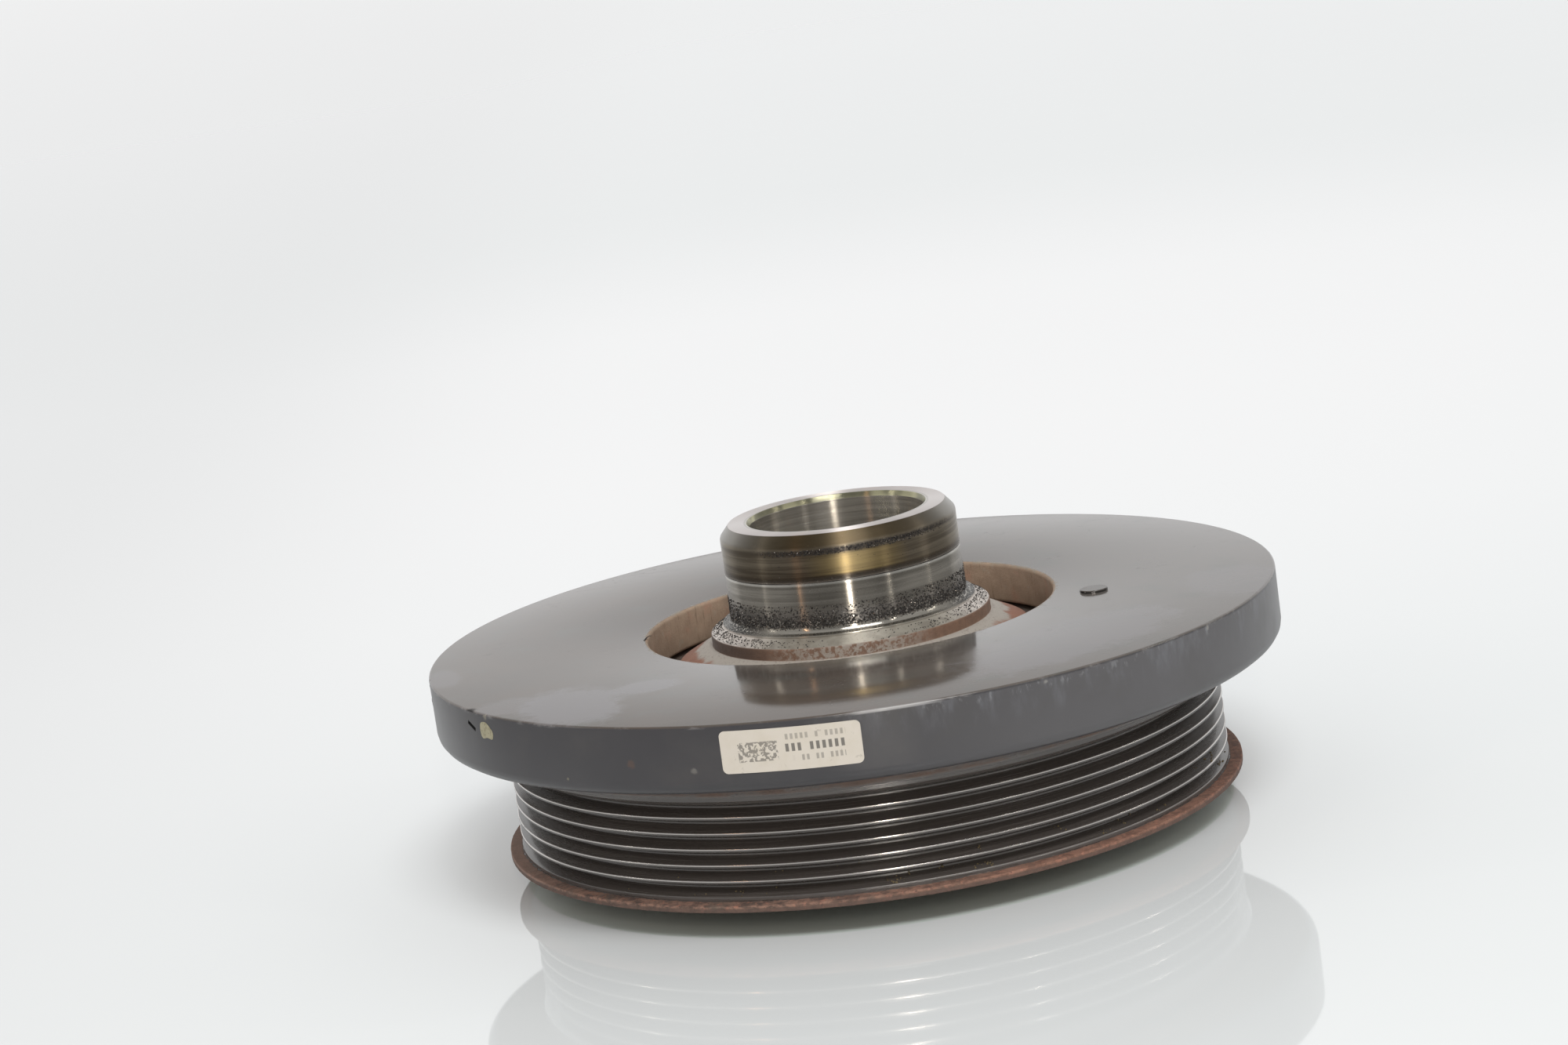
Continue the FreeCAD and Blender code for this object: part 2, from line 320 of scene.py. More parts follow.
class Finish:
    """A surface finish: one shader with layers laid over each other, measured in millimetres."""

    def __init__(self, name, colour, roughness, metallic=0.0, **fixed):
        self.material = bpy.data.materials.new(name)
        self.material.use_nodes = True
        self.tree = self.material.node_tree
        self.shader = self.tree.nodes["Principled BSDF"]
        for label, value in fixed.items():
            self.shader.inputs[label.replace("_", " ")].default_value = value
        self.colour = paint(colour)
        self.roughness = roughness
        self.metallic = metallic
        self.height = 0.0
        place = self.node("TexCoord").outputs["Object"]
        self.place = self.vector("SCALE", place, Scale=1.0 / MM)
        split = self.node("SeparateXYZ")
        feed(self.tree, split.inputs[0], self.place)
        self.x, self.y, self.z = split.outputs
        flat = self.vector("MULTIPLY", self.place, (1.0, 1.0, 0.0))
        self.radius = self.vector("LENGTH", flat, result="Value")

    def node(self, kind, **settings):
        """Adds a shader node with the given settings."""
        node = self.tree.nodes.new("ShaderNode" + kind)
        for label, value in settings.items():
            setattr(node, label, value)
        return node

    def vector(self, operation, first, second=None, result="Vector", **named):
        """One step of vector arithmetic."""
        node = self.node("VectorMath", operation=operation)
        feed(self.tree, node.inputs[0], first)
        if second is not None:
            feed(self.tree, node.inputs[1], second)
        for label, value in named.items():
            feed(self.tree, node.inputs[label], value)
        return node.outputs[result]

    def math(self, operation, *values):
        """One step of plain arithmetic."""
        node = self.node("Math", operation=operation)
        for socket, value in zip(node.inputs, values):
            feed(self.tree, socket, value)
        return node.outputs[0]

    def rise(self, value, low, high, bottom=0.0, top=1.0):
        """A smooth step from bottom at low to top at high."""
        node = self.node("MapRange", interpolation_type="SMOOTHSTEP")
        for label, number in zip(("Value", "From Min", "From Max", "To Min", "To Max"),
                                 (value, low, high, bottom, top)):
            feed(self.tree, node.inputs[label], number)
        return node.outputs["Result"]

    def both(self, *masks):
        """The product of several masks."""
        product = masks[0]
        for mask in masks[1:]:
            product = self.math("MULTIPLY", product, mask)
        return product

    def band(self, value, low, high, soft):
        """1 between low and high, with edges that fade over soft."""
        return self.both(self.rise(value, low - soft, low + soft), self.rise(value, high + soft, high - soft))

    def noise(self, size, stretch=(1.0, 1.0, 1.0), detail=3.0, roughness=0.55, place=None, shift=0.0):
        """Cloudy pattern from 0 to 1 with features of the given size, stretched along the axes."""
        scale = tuple(1.0 / (size * share) for share in stretch)
        spot = self.vector("MULTIPLY", self.place if place is None else place, scale)
        spot = self.vector("ADD", spot, (shift, shift, shift))
        node = self.node("TexNoise")
        feed(self.tree, node.inputs["Vector"], spot)
        feed(self.tree, node.inputs["Scale"], 1.0)
        feed(self.tree, node.inputs["Detail"], detail)
        feed(self.tree, node.inputs["Roughness"], roughness)
        return node.outputs[0]

    def ring_place(self):
        """Place with the radius in it, so that a pattern follows the lathe's circles."""
        node = self.node("CombineXYZ")
        feed(self.tree, node.inputs[0], self.x)
        feed(self.tree, node.inputs[1], self.y)
        feed(self.tree, node.inputs[2], self.math("ADD", self.z, self.radius))
        return node.outputs[0]

    def lathe_marks(self, pitch, length, detail=3.0, shift=0.0):
        """Fine lines round the axis, as a turning tool or a rubbing lip leaves them."""
        return self.noise(1.0, (length, length, pitch), detail, 0.6, self.ring_place(), shift)

    def facing(self, azimuth, half_width, soft):
        """1 within half_width degrees of an azimuth in degrees, fading over soft."""
        angle = math.radians(azimuth)
        direction = (math.cos(angle), math.sin(angle), 0.0)
        along = self.vector("DOT_PRODUCT", self.place, direction, result="Value")
        cosine = self.math("DIVIDE", along, self.radius)
        outer = math.cos(math.radians(min(half_width + soft, 180.0)))
        inner = math.cos(math.radians(max(half_width - soft, 0.0)))
        return self.rise(cosine, outer, inner)

    def spot(self, centre, size, soft, ragged=0.0, grain=3.0):
        """1 inside a patch round a point in millimetres, with a ragged edge."""
        distance = self.vector("DISTANCE", self.place, centre, result="Value")
        if ragged:
            stray = self.math("SUBTRACT", self.noise(grain, detail=4.0), 0.5)
            distance = self.math("MULTIPLY_ADD", stray, ragged * 2.0, distance)
        return self.rise(distance, size + soft, size - soft)

    def mix(self, mask, first, second):
        """Goes from a first colour to a second. The Mix node's colours are sockets 6, 7 and, out, 2."""
        node = self.node("Mix", data_type="RGBA", clamp_factor=True)
        feed(self.tree, node.inputs[0], mask)
        feed(self.tree, node.inputs[6], paint(first) if isinstance(first, str) else first)
        feed(self.tree, node.inputs[7], paint(second) if isinstance(second, str) else second)
        return node.outputs[2]

    def blend(self, mask, first, second):
        """Goes from a first number to a second, sockets 2 and 3 of the Mix node."""
        node = self.node("Mix", data_type="FLOAT", clamp_factor=True)
        feed(self.tree, node.inputs[0], mask)
        feed(self.tree, node.inputs[2], first)
        feed(self.tree, node.inputs[3], second)
        return node.outputs[0]

    def layer(self, mask, colour=None, roughness=None, metallic=None):
        """Lays a further film over what is there, where the mask is 1."""
        if colour is not None:
            self.colour = self.mix(mask, self.colour, colour)
        if roughness is not None:
            self.roughness = self.blend(mask, self.roughness, roughness)
        if metallic is not None:
            self.metallic = self.blend(mask, self.metallic, metallic)

    def relief(self, height, depth):
        """Adds fine relief: height from 0 to 1, depth in millimetres."""
        self.height = self.math("MULTIPLY_ADD", height, depth * MM, self.height)

    def brush_round_axis(self, strength):
        """Stretches reflections across the turning marks, a quarter turn from them."""
        tangent = self.node("Tangent", direction_type="RADIAL", axis="Z")
        feed(self.tree, self.shader.inputs["Tangent"], tangent.outputs[0])
        self.shader.inputs["Anisotropic"].default_value = strength
        self.shader.inputs["Anisotropic Rotation"].default_value = 0.25

    def done(self):
        """Joins the layers to the shader and gives the material."""
        sockets = self.shader.inputs
        feed(self.tree, sockets["Base Color"], self.colour)
        feed(self.tree, sockets["Roughness"], self.roughness)
        feed(self.tree, sockets["Metallic"], self.metallic)
        if isinstance(self.height, bpy.types.NodeSocket):
            bump = self.node("Bump")
            feed(self.tree, bump.inputs["Height"], self.height)
            feed(self.tree, bump.inputs["Strength"], 1.0)
            feed(self.tree, bump.inputs["Distance"], 1.0)
            feed(self.tree, sockets["Normal"], bump.outputs[0])
        return self.material


def rust_colour(finish, dark, light, size, shift=0.0):
    """Mottled rust between two colours."""
    return finish.mix(finish.noise(size, detail=5.0, roughness=0.65, shift=shift), dark, light)


def dust_and_painted_light_on_ring_face(coat, face):
    """Dusty warm film on the ring's face, painted light that brightens it toward the right, fine scratches
    and rubbed lines.
    """
    film = coat.mix(coat.noise(22.0, detail=4.0, shift=2.0), "#47423e", "#5b4f46")
    coat.layer(face, film, 0.11)
    # Painted light: the face is lighter toward the right, where more light falls.
    coat.layer(coat.both(face, coat.rise(coat.x, -20.0, 60.0), 0.7), "#65615e", 0.12)
    cool = coat.rise(coat.noise(13.0, detail=4.0, shift=17.0), 0.5, 0.7)
    coat.layer(coat.both(face, cool, 0.5), "#555652", 0.15)
    scratch = coat.rise(coat.noise(1.0, (42.0, 3.0, 1.0), 4.0, 0.7, shift=4.0), 0.6, 0.72)
    coat.layer(coat.both(face, scratch, 0.3), "#6b6562", 0.3)
    speck = coat.rise(coat.noise(1.1, detail=2.0, shift=9.0), 0.7, 0.76)
    coat.layer(coat.both(face, speck, 0.4), "#6f6a66", 0.5)
    rubbed = coat.rise(coat.noise(1.0, (2.4, 0.7, 1.0), 4.0, 0.7, shift=19.0), 0.58, 0.66)
    rubbed = coat.both(rubbed, coat.rise(coat.noise(12.0, detail=3.0, shift=23.0), 0.56, 0.66))
    coat.layer(coat.both(face, rubbed, 0.6), "#3b3937", 0.4)


def smears_on_ring_face(coat, face):
    """Wiped smears on the ring's face, each an oval with a wavering edge."""
    for x, y, length, width, lean, strength in ring_smears:
        turn = coat.node("Mapping", vector_type="TEXTURE")
        feed(coat.tree, turn.inputs["Vector"], coat.place)
        turn.inputs["Location"].default_value = (x, y, ring_top)
        turn.inputs["Rotation"].default_value = (0.0, 0.0, math.radians(lean))
        turn.inputs["Scale"].default_value = (length, width, 40.0)
        reach = coat.vector("LENGTH", turn.outputs[0], result="Value")
        wobble = coat.math("SUBTRACT", coat.noise(6.0, detail=6.0, roughness=0.68, shift=x), 0.5)
        reach = coat.math("MULTIPLY_ADD", wobble, 1.2, reach)
        wiped = coat.both(face, coat.rise(reach, 1.2, 0.75), strength)
        coat.layer(wiped, "#737072", 0.24)


def wear_and_painted_light_on_ring_side(coat, side):
    """Dull film, greasy runs and painted light on the ring's side; rubbed upper edge, painted highlight,
    chips, spots, painted shade in the knock.
    """
    # Painted light: the side is lighter toward the right, where more light falls.
    coat.layer(coat.both(side, coat.facing(-34.0, 34.0, 30.0), 0.75), "#5f5e60", 0.38)
    run = coat.noise(1.0, (3.6, 3.6, 11.0), 4.0, 0.6, shift=6.0)
    smeared = coat.both(side, coat.rise(run, 0.46, 0.78), coat.rise(coat.z, ring_top - 9.0, ring_top - 1.5),
                        coat.facing(-46.0, 36.0, 24.0), 0.4)
    coat.layer(smeared, "#83868e", 0.42)
    dash = coat.rise(coat.noise(1.0, (1.3, 1.3, 3.0), 3.0, 0.6, shift=26.0), 0.56, 0.68)
    dash = coat.both(side, dash, coat.rise(coat.z, ring_top - 3.2, ring_top - 1.4),
                     coat.facing(-56.0, 28.0, 14.0))
    coat.layer(coat.both(dash, 0.22), "#a7a9ad", 0.5)
    dull = coat.both(side, coat.rise(coat.noise(11.0, detail=4.0, shift=3.0), 0.45, 0.75), 0.35)
    coat.layer(dull, "#4c4a49", 0.44)
    edge = coat.band(coat.z, ring_top - 0.75, ring_top - 0.05, 0.15)
    edge = coat.both(edge, coat.rise(coat.radius, ring_radius - 0.7, ring_radius - 0.4))
    bare = coat.rise(coat.noise(1.0, (5.0, 5.0, 2.0), 4.0, 0.65, shift=8.0), 0.5, 0.72)
    coat.layer(coat.both(edge, bare, 0.5), "#868483", 0.4)
    # Painted highlight: a bright stretch of the upper edge facing the main softbox.
    coat.layer(coat.both(edge, coat.facing(-86.0, 4.0, 2.5), 0.6), "#b3b2b2", 0.3)

    for azimuth, height, size, strength, colour in ring_marks:
        centre = polar(ring_radius, math.radians(azimuth), height) / MM
        coat.layer(coat.both(coat.spot(centre, size, size * 0.6, size, 0.8), strength), colour, 0.6)
    # Painted shade: the inside of the knock mark is painted near black.
    knock = polar(ring_radius, gouge_azimuth, ring_top - gouge_drop) / MM
    inside = coat.rise(coat.radius, ring_radius - 0.04, ring_radius - 0.12)
    coat.layer(coat.both(coat.spot(knock, gouge_length, 0.4), inside), "#1f1f20", 0.7)


def rust_on_ring(coat, face):
    """Rust where the coating never was: hole, underside and chipped hole edge. Gives the rusty part."""
    hole = coat.rise(coat.radius, ring_bore_radius + 0.9, ring_bore_radius + 0.35)
    coat.layer(hole, rust_colour(coat, "#857160", "#b9a28c", 4.0), 0.85)
    warm = coat.rise(coat.noise(7.0, detail=5.0, shift=5.0), 0.52, 0.7)
    coat.layer(coat.both(hole, warm, 0.4), "#b98671", 0.85)
    scored = coat.rise(coat.noise(1.0, (0.7, 0.7, 9.0), 4.0, 0.7, shift=14.0), 0.58, 0.68)
    coat.layer(coat.both(hole, scored, 0.45), "#62503f", 0.85)
    grey = coat.rise(coat.noise(3.0, detail=5.0, shift=7.0), 0.58, 0.72)
    coat.layer(coat.both(hole, grey, 0.4), "#a39b8c", 0.8)
    low = coat.both(coat.rise(coat.z, skirt_bottom + 0.35, skirt_bottom + 0.05),
                    coat.rise(coat.radius, skirt_inner - 0.4, skirt_inner))
    coat.layer(low, "#5c4c42", 0.85)
    chipped = coat.band(coat.radius, ring_bore_radius, ring_bore_radius + 1.3, 0.15)
    chipped = coat.both(face, chipped, coat.rise(coat.noise(2.4, detail=5.0, shift=12.0), 0.5, 0.62))
    coat.layer(coat.both(chipped, 0.7), "#8f887c", 0.55)
    return coat.math("MAXIMUM", hole, low)


def ring_coating():
    """Worn dark coating of the inertia ring, with smears on its face and rust in its hole."""
    coat = Finish("ring_coating", "#373639", 0.3)
    coat.layer(coat.noise(38.0, detail=4.0, roughness=0.6), "#414043", 0.36)
    face = coat.rise(coat.z, ring_top - 0.5, ring_top - 0.1)
    side = coat.both(coat.rise(coat.radius, ring_radius - 1.2, ring_radius - 0.6),
                     coat.rise(coat.z, ring_top - 0.4, ring_top - 0.9))
    dust_and_painted_light_on_ring_face(coat, face)
    smears_on_ring_face(coat, face)
    wear_and_painted_light_on_ring_side(coat, side)
    rusty = rust_on_ring(coat, face)
    coat.relief(coat.noise(1.5, detail=3.0), 0.004)
    coat.relief(coat.both(coat.noise(0.5, detail=5.0, roughness=0.7), rusty), 0.12)
    return coat.done()


def rubbed_crests(rim):
    """Bright line on each crest's upper edge, its dull flat and the scuffed land on the flange."""
    grooves = rim.band(rim.z, first_groove - 0.4, last_groove_end + 0.4, 0.1)
    past_middle = rim.math("SUBTRACT", rim.z, first_groove + groove_width / 2.0)
    along = rim.math("FRACT", rim.math("DIVIDE", past_middle, groove_pitch))
    along = rim.math("MULTIPLY", along, groove_pitch)
    crest = rim.both(rim.rise(rim.radius, crest_radius - 0.2, crest_radius - 0.1), grooves,
                     rim.rise(rim.radius, crest_radius + 0.25, crest_radius + 0.12))
    crest_start = groove_width / 2.0
    crest_end = groove_pitch - crest_start
    upper = rim.both(crest, rim.band(along, crest_end - 0.26, crest_end + 0.2, 0.06))
    lowest = rim.rise(rim.z, first_groove + 0.5, first_groove + 0.3)
    upper = rim.both(upper, rim.blend(lowest, 1.0, rim.both(rim.facing(-50.0, 30.0, 12.0), 0.5)))
    rubbed = rim.rise(rim.lathe_marks(0.3, 9.0, 4.0, 3.0), 0.2, 0.42)
    rim.layer(rim.both(upper, rubbed), "#c9c4c0", 0.17, 1.0)
    flat = rim.both(crest, rim.band(along, crest_start + 0.05, crest_end - 0.32, 0.06))
    rim.layer(rim.both(flat, 0.7), "#3a3532", 0.4)
    land = rim.band(rim.z, flange_top - 0.1, first_groove - 0.05, 0.1)
    land = rim.both(land, rim.rise(rim.radius, crest_radius + 0.6, crest_radius + 0.3))
    scuffed = rim.rise(rim.lathe_marks(0.6, 12.0, 4.0, 5.0), 0.42, 0.6)
    rim.layer(rim.both(land, scuffed, 0.7), "#6b6866", 0.4, 0.5)


def rust_on_rim(rim):
    """Rust on the flange, the upper lip and the front web. Gives the part that is pitted."""
    mottle = rim.rise(rim.noise(1.0, (2.6, 2.6, 1.2), 5.0, 0.68), 0.36, 0.64)
    rust = rim.mix(mottle, "#4d3b32", "#93705f")
    ragged = rim.math("MULTIPLY_ADD", rim.noise(1.4, detail=5.0, shift=31.0), -1.2, rim.radius)
    flange = rim.both(rim.rise(rim.z, flange_top + 0.1, flange_top - 0.05),
                      rim.rise(ragged, crest_radius - 0.6, crest_radius - 0.3))
    rim.layer(flange, rust, 0.86, 0.0)
    grey = rim.rise(rim.noise(6.0, detail=5.0, shift=3.0), 0.52, 0.64)
    rim.layer(rim.both(flange, grey, 0.6), "#5d5146", 0.75)
    bright = rim.rise(rim.noise(1.6, detail=4.0, shift=13.0), 0.55, 0.66)
    rim.layer(rim.both(flange, rim.facing(-38.0, 40.0, 30.0), 0.45), "#86563f", 0.85)
    rim.layer(rim.both(flange, bright, 0.55), "#ab745f", 0.85)
    gaps = rim.rise(rim.noise(1.0, detail=5.0, roughness=0.7, shift=18.0), 0.58, 0.66)
    rim.layer(rim.both(flange, gaps, 0.7), "#3d2f29", 0.9)
    rim.layer(rim.both(flange, rim.facing(180.0, 24.0, 14.0), 0.6), "#a8897a", 0.8)
    flange_edge = rim.both(rim.rise(rim.radius, flange_radius - 0.5, flange_radius - 0.2),
                           rim.rise(rim.z, flange_top - 0.5, flange_top - 0.9))
    rim.layer(rim.both(flange_edge, 0.75), "#4d3a31", 0.8, 0.0)

    lip = rim.rise(rim.z, last_groove_end + 1.6, last_groove_end + 2.3)
    outside = rim.rise(rim.radius, rim_inner + 1.0, rim_inner + 2.0)
    worn = rim.rise(rim.noise(1.0, (9.0, 9.0, 2.0), 5.0, 0.6, shift=7.0), 0.3, 0.6)
    brown = rust_colour(rim, "#4d3f37", "#7a5c4a", 2.2, 4.0)
    rim.layer(rim.both(lip, outside, worn, 0.85), brown, 0.8, 0.0)

    inside = rim.rise(rim.radius, crest_radius - 5.0, crest_radius - 6.0)
    front = rim.both(rim.rise(rim.z, flange_low + 0.5, flange_low + 0.1), inside)
    under = rim.both(rim.rise(rim.noise(14.0, detail=5.0, shift=15.0), 0.42, 0.66), front)
    rim.layer(rim.both(under, 0.8), rust, 0.85, 0.0)
    return rim.math("MAXIMUM", flange, lip)


def belt_rim_finish():
    """Black grooves with rubbed crests, a rusty flange and a rusty lip."""
    rim = Finish("belt_rim_black", "#484340", 0.24, Specular_IOR_Level=1.0)
    marks = rim.lathe_marks(0.5, 34.0, 4.0)
    rim.layer(rim.rise(marks, 0.4, 0.75), "#56514d", 0.3)
    rubbed_crests(rim)
    rusty = rust_on_rim(rim)
    rim.relief(rim.both(rim.noise(0.8, detail=5.0, roughness=0.7), rusty), 0.18)
    rim.relief(marks, 0.004)
    return rim.done()


def bands_on_sleeve(steel, wall, broad):
    """Grey band where no seal ran, the polished line of its lip and the heat tints above, with a painted
    golden glow.
    """
    steel.layer(wall, "#9e9990", 0.16)
    steel.layer(steel.both(wall, steel.rise(broad, 0.34, 0.66), 0.8), "#6e6a62", 0.22)
    brown = steel.mix(steel.rise(broad, 0.4, 0.7), "#8d8474", "#655c4f")
    steel.layer(steel.both(wall, steel.rise(steel.z, seal_line + 0.9, seal_line + 1.5)), brown, 0.36)
    # Straw heat tint at the front, lit up as a painted golden glow of the main softbox.
    straw_glow = steel.both(wall, steel.band(steel.z, seal_line + 1.5, lead_in_start - 1.9, 0.4),
                       steel.facing(-83.0, 15.0, 13.0))
    straw_glow_tint = steel.mix(steel.rise(broad, 0.45, 0.75), "#b49e6e", "#8f7f5f")
    steel.layer(steel.both(straw_glow, 0.85), straw_glow_tint, 0.42)
    scorch = steel.band(steel.z, seal_line + 0.7, seal_line + 1.7, 0.35)
    steel.layer(steel.both(wall, scorch, 0.7), "#544a3e", 0.28)
    polished = steel.band(steel.z, seal_line - 0.45, seal_line + 0.45, 0.2)
    steel.layer(steel.both(wall, polished, 0.75), "#cbc8c1", 0.18)
    rubbed = steel.band(steel.z, seal_line + 0.05, seal_line + 0.25, 0.08)
    lip_marks = steel.rise(steel.lathe_marks(0.5, 14.0, 3.0, 8.0), 0.3, 0.5)
    steel.layer(steel.both(wall, rubbed, lip_marks), "#24211f", 0.5)


def burnt_dirt_on_sleeve(steel, wall, outside, middle, height):
    """Burnt dirt below the chamfer and above the foot, with a few shiny sparks in it."""
    specks = steel.noise(0.5, detail=4.0, roughness=0.7, shift=2.0)
    ledge = steel.band(height, lead_in_start - 1.5, lead_in_start - 0.3, 0.5)
    ledge = steel.both(wall, ledge, steel.facing(-78.0, 42.0, 30.0))
    steel.layer(steel.both(ledge, 0.7), "#4d4743", 0.3, 0.8)
    steel.layer(steel.both(ledge, steel.rise(specks, 0.42, 0.5), 0.9), "#211e1d", 0.45, 0.4)
    foot = steel.rise(height, foot_top + 7.0, foot_top + 3.4)
    steel.layer(steel.both(wall, foot, 0.8), "#6b6865", 0.34, 0.75)
    low_wall = steel.both(outside, steel.rise(steel.radius, foot_radius + 1.0, foot_radius + 0.5),
                          steel.rise(steel.z, foot_top - 0.3, foot_top))
    sooty = steel.blend(middle, low_wall, wall)
    level = steel.rise(height, foot_top + 1.0, foot_top + 7.0, 0.41, 0.66)
    soot = steel.rise(steel.math("SUBTRACT", specks, level), -0.02, 0.03)
    steel.layer(steel.both(sooty, soot), "#302e2c", 0.6, 0.2)
    sparks = steel.rise(steel.noise(0.5, detail=2.0, shift=12.0), 0.57, 0.62)
    steel.layer(steel.both(sooty, soot, sparks), "#aba69f", 0.3, 0.9)


def sleeve_end_tints(steel, outside, broad, height):
    """Tinted chamfer at the sleeve's end, the bore's patchy mouth and the bright top."""
    chamfer = steel.both(steel.rise(height, lead_in_start - 0.7, lead_in_start + 0.5),
                         steel.rise(steel.z, sleeve_top - 0.02, sleeve_top - 0.12), outside)
    tint = steel.mix(steel.rise(broad, 0.4, 0.7), "#71644f", "#5b503b")
    tinted = steel.facing(-90.0, 42.0, 28.0)
    steel.layer(chamfer, steel.mix(tinted, "#8b8780", tint), steel.blend(tinted, 0.34, 0.5))
    mouth_end = sleeve_top - bore_mouth_depth
    mouth = steel.both(steel.rise(steel.z, mouth_end, mouth_end + 0.1),
                       steel.rise(steel.radius, bore_mouth_radius + 0.05, bore_mouth_radius))
    patchy = steel.rise(steel.noise(9.0, detail=2.0, shift=21.0), 0.44, 0.6)
    steel.layer(mouth, steel.mix(patchy, "#8d8a74", "#c9c5a2"), 0.25)
    top = steel.both(steel.rise(steel.z, sleeve_top - 0.1, sleeve_top - 0.02), outside)
    steel.layer(top, "#d9d2cf", 0.36)


def collar_and_shoulder(steel, middle):
    """Grey flecked collar cone, its rusty side and the rusty shoulder. Gives the part that is rough."""
    cone = steel.both(steel.band(steel.z, collar_edge - 0.1, foot_top - 0.15, 0.15),
                      steel.rise(steel.radius, foot_radius - 0.3, foot_radius + 0.1))
    steel.layer(cone, steel.mix(middle, "#dcd4cd", "#a19c91"), 0.5, 0.45)
    cloudy = steel.rise(steel.noise(3.0, detail=5.0, shift=27.0), 0.42, 0.64)
    steel.layer(steel.both(cone, cloudy, 0.4), "#746d63", 0.5)
    flecks = steel.rise(steel.noise(0.7, detail=4.0, roughness=0.7, shift=6.0), 0.57, 0.66)
    steel.layer(steel.both(cone, flecks, steel.blend(middle, 0.65, 0.25)), "#2b2826", 0.7, 0.0)

    side = steel.both(steel.band(steel.z, shoulder_top, collar_edge, 0.12),
                      steel.rise(steel.radius, collar_radius - 0.5, collar_radius - 0.2),
                      steel.rise(steel.radius, collar_radius + 0.5, collar_radius + 0.2))
    steel.layer(side, rust_colour(steel, "#5f4c40", "#937562", 2.0), 0.85, 0.0)
    chipped = steel.rise(steel.noise(1.1, detail=5.0, roughness=0.65, shift=4.0), 0.42, 0.56)
    steel.layer(steel.both(side, chipped, steel.facing(-92.0, 24.0, 14.0), 0.85), "#aba49b", 0.5, 0.3)
    steel.layer(steel.both(side, steel.facing(-158.0, 26.0, 14.0), 0.7), "#403733", 0.7, 0.0)

    shoulder = steel.both(steel.rise(steel.z, shoulder_top + 0.1, shoulder_top - 0.05),
                          steel.rise(steel.z, hub_web_top - 0.6, hub_web_top - 0.3),
                          steel.rise(steel.radius, nose_radius - 2.0, nose_radius - 1.5))
    steel.layer(shoulder, rust_colour(steel, "#7a5343", "#9c705c", 3.0, 6.0), 0.88, 0.0)
    pale_reach = steel.math("MULTIPLY_ADD", steel.noise(6.0, detail=5.0, shift=1.0), 7.0, 33.0)
    pale = steel.rise(steel.math("SUBTRACT", steel.radius, pale_reach), 1.0, -1.0)
    steel.layer(steel.both(shoulder, pale), "#aaa39a", 0.75, 0.1)
    steel.layer(steel.both(shoulder, flecks, pale, 0.6), "#5b4a40", 0.8, 0.0)
    return steel.math("MAXIMUM", shoulder, side)


def hub_steel():
    """Turned steel of the hub: heat-tinted sleeve with a painted golden glow, seal line, grey collar and
    rusty shoulder.
    """
    steel = Finish("hub_steel", "#bab5ab", 0.15, 1.0)
    steel.brush_round_axis(1.0)
    fine = steel.lathe_marks(0.16, 26.0, 3.0)
    broad = steel.lathe_marks(1.3, 46.0, 4.0, 5.0)
    steel.layer(steel.rise(fine, 0.35, 0.8), "#a39e95", 0.2)
    lowered = steel.math("SUBTRACT", steel.z, 0.6)
    height = steel.math("MULTIPLY_ADD", steel.noise(14.0, detail=3.0, shift=3.0), 1.2, lowered)
    outside = steel.rise(steel.radius, bore_mouth_radius + 0.3, bore_mouth_radius + 0.8)
    wall = steel.both(outside, steel.rise(steel.radius, foot_radius + 1.0, foot_radius + 0.5),
                      steel.rise(steel.z, foot_top + 1.2, foot_top + 1.8))
    middle = steel.facing(-86.0, 46.0, 18.0)
    bore = steel.both(steel.rise(steel.radius, bore_radius + 0.3, bore_radius + 0.1),
                      steel.rise(steel.z, bore_seat + 0.2, bore_seat + 0.5))
    steel.layer(bore, steel.mix(steel.rise(broad, 0.3, 0.7), "#bfbab1", "#948f86"), 0.24, 0.8)

    bands_on_sleeve(steel, wall, broad)
    burnt_dirt_on_sleeve(steel, wall, outside, middle, height)
    sleeve_end_tints(steel, outside, broad, height)
    rough = collar_and_shoulder(steel, middle)

    # The web, the rim and the nose below, which the photograph doesn't show
    below = steel.both(steel.rise(steel.z, hub_web_top + 0.1, hub_web_top - 0.1),
                       steel.rise(steel.radius, bore_mouth_radius, bore_mouth_radius + 0.5))
    steel.layer(below, steel.mix(steel.noise(5.0, detail=5.0, shift=14.0), "#5f5750", "#85807a"), 0.5, 0.7)
    tarnish = steel.rise(steel.noise(8.0, detail=5.0, shift=17.0), 0.54, 0.68)
    steel.layer(steel.both(below, tarnish, 0.7), "#6a4c3c", 0.8, 0.1)

    steel.relief(steel.both(fine, steel.blend(bore, 0.3, 1.0)), 0.01)
    steel.relief(steel.both(steel.noise(0.6, detail=5.0, roughness=0.7), rough), 0.2)
    return steel.done()


def black_rubber_finish():
    """Black rubber, matt and a little dusty."""
    rubber = Finish("black_rubber", "#191919", 0.72)
    dust = rubber.rise(rubber.noise(5.0, detail=5.0), 0.5, 0.72)
    rubber.layer(rubber.both(dust, 0.5), "#3b3733", 0.85)
    rubber.relief(rubber.noise(0.5, detail=4.0), 0.03)
    return rubber.done()


def drawn_tube_steel():
    """Drawn steel tube with a grey skin and spots of rust."""
    steel = Finish("drawn_steel", "#7d7a76", 0.42, 0.9)
    steel.layer(steel.rise(steel.lathe_marks(0.4, 20.0), 0.4, 0.75), "#5f5c59", 0.5)
    spots = steel.rise(steel.noise(3.0, detail=5.0), 0.58, 0.66)
    steel.layer(spots, "#6e4a38", 0.85, 0.0)
    return steel.done()


def bearing_plastic():
    """Fibre-filled bearing plastic, dark grey-brown with a rubbed face."""
    plastic = Finish("bearing_plastic", "#3d3730", 0.5)
    fibres = plastic.rise(plastic.noise(0.6, (1.0, 1.0, 3.0), 3.0), 0.55, 0.72)
    plastic.layer(plastic.both(fibres, 0.6), "#5d564c", 0.6)
    plastic.layer(plastic.rise(plastic.noise(7.0, detail=4.0), 0.5, 0.75), "#2f2b27", 0.4)
    return plastic.done()


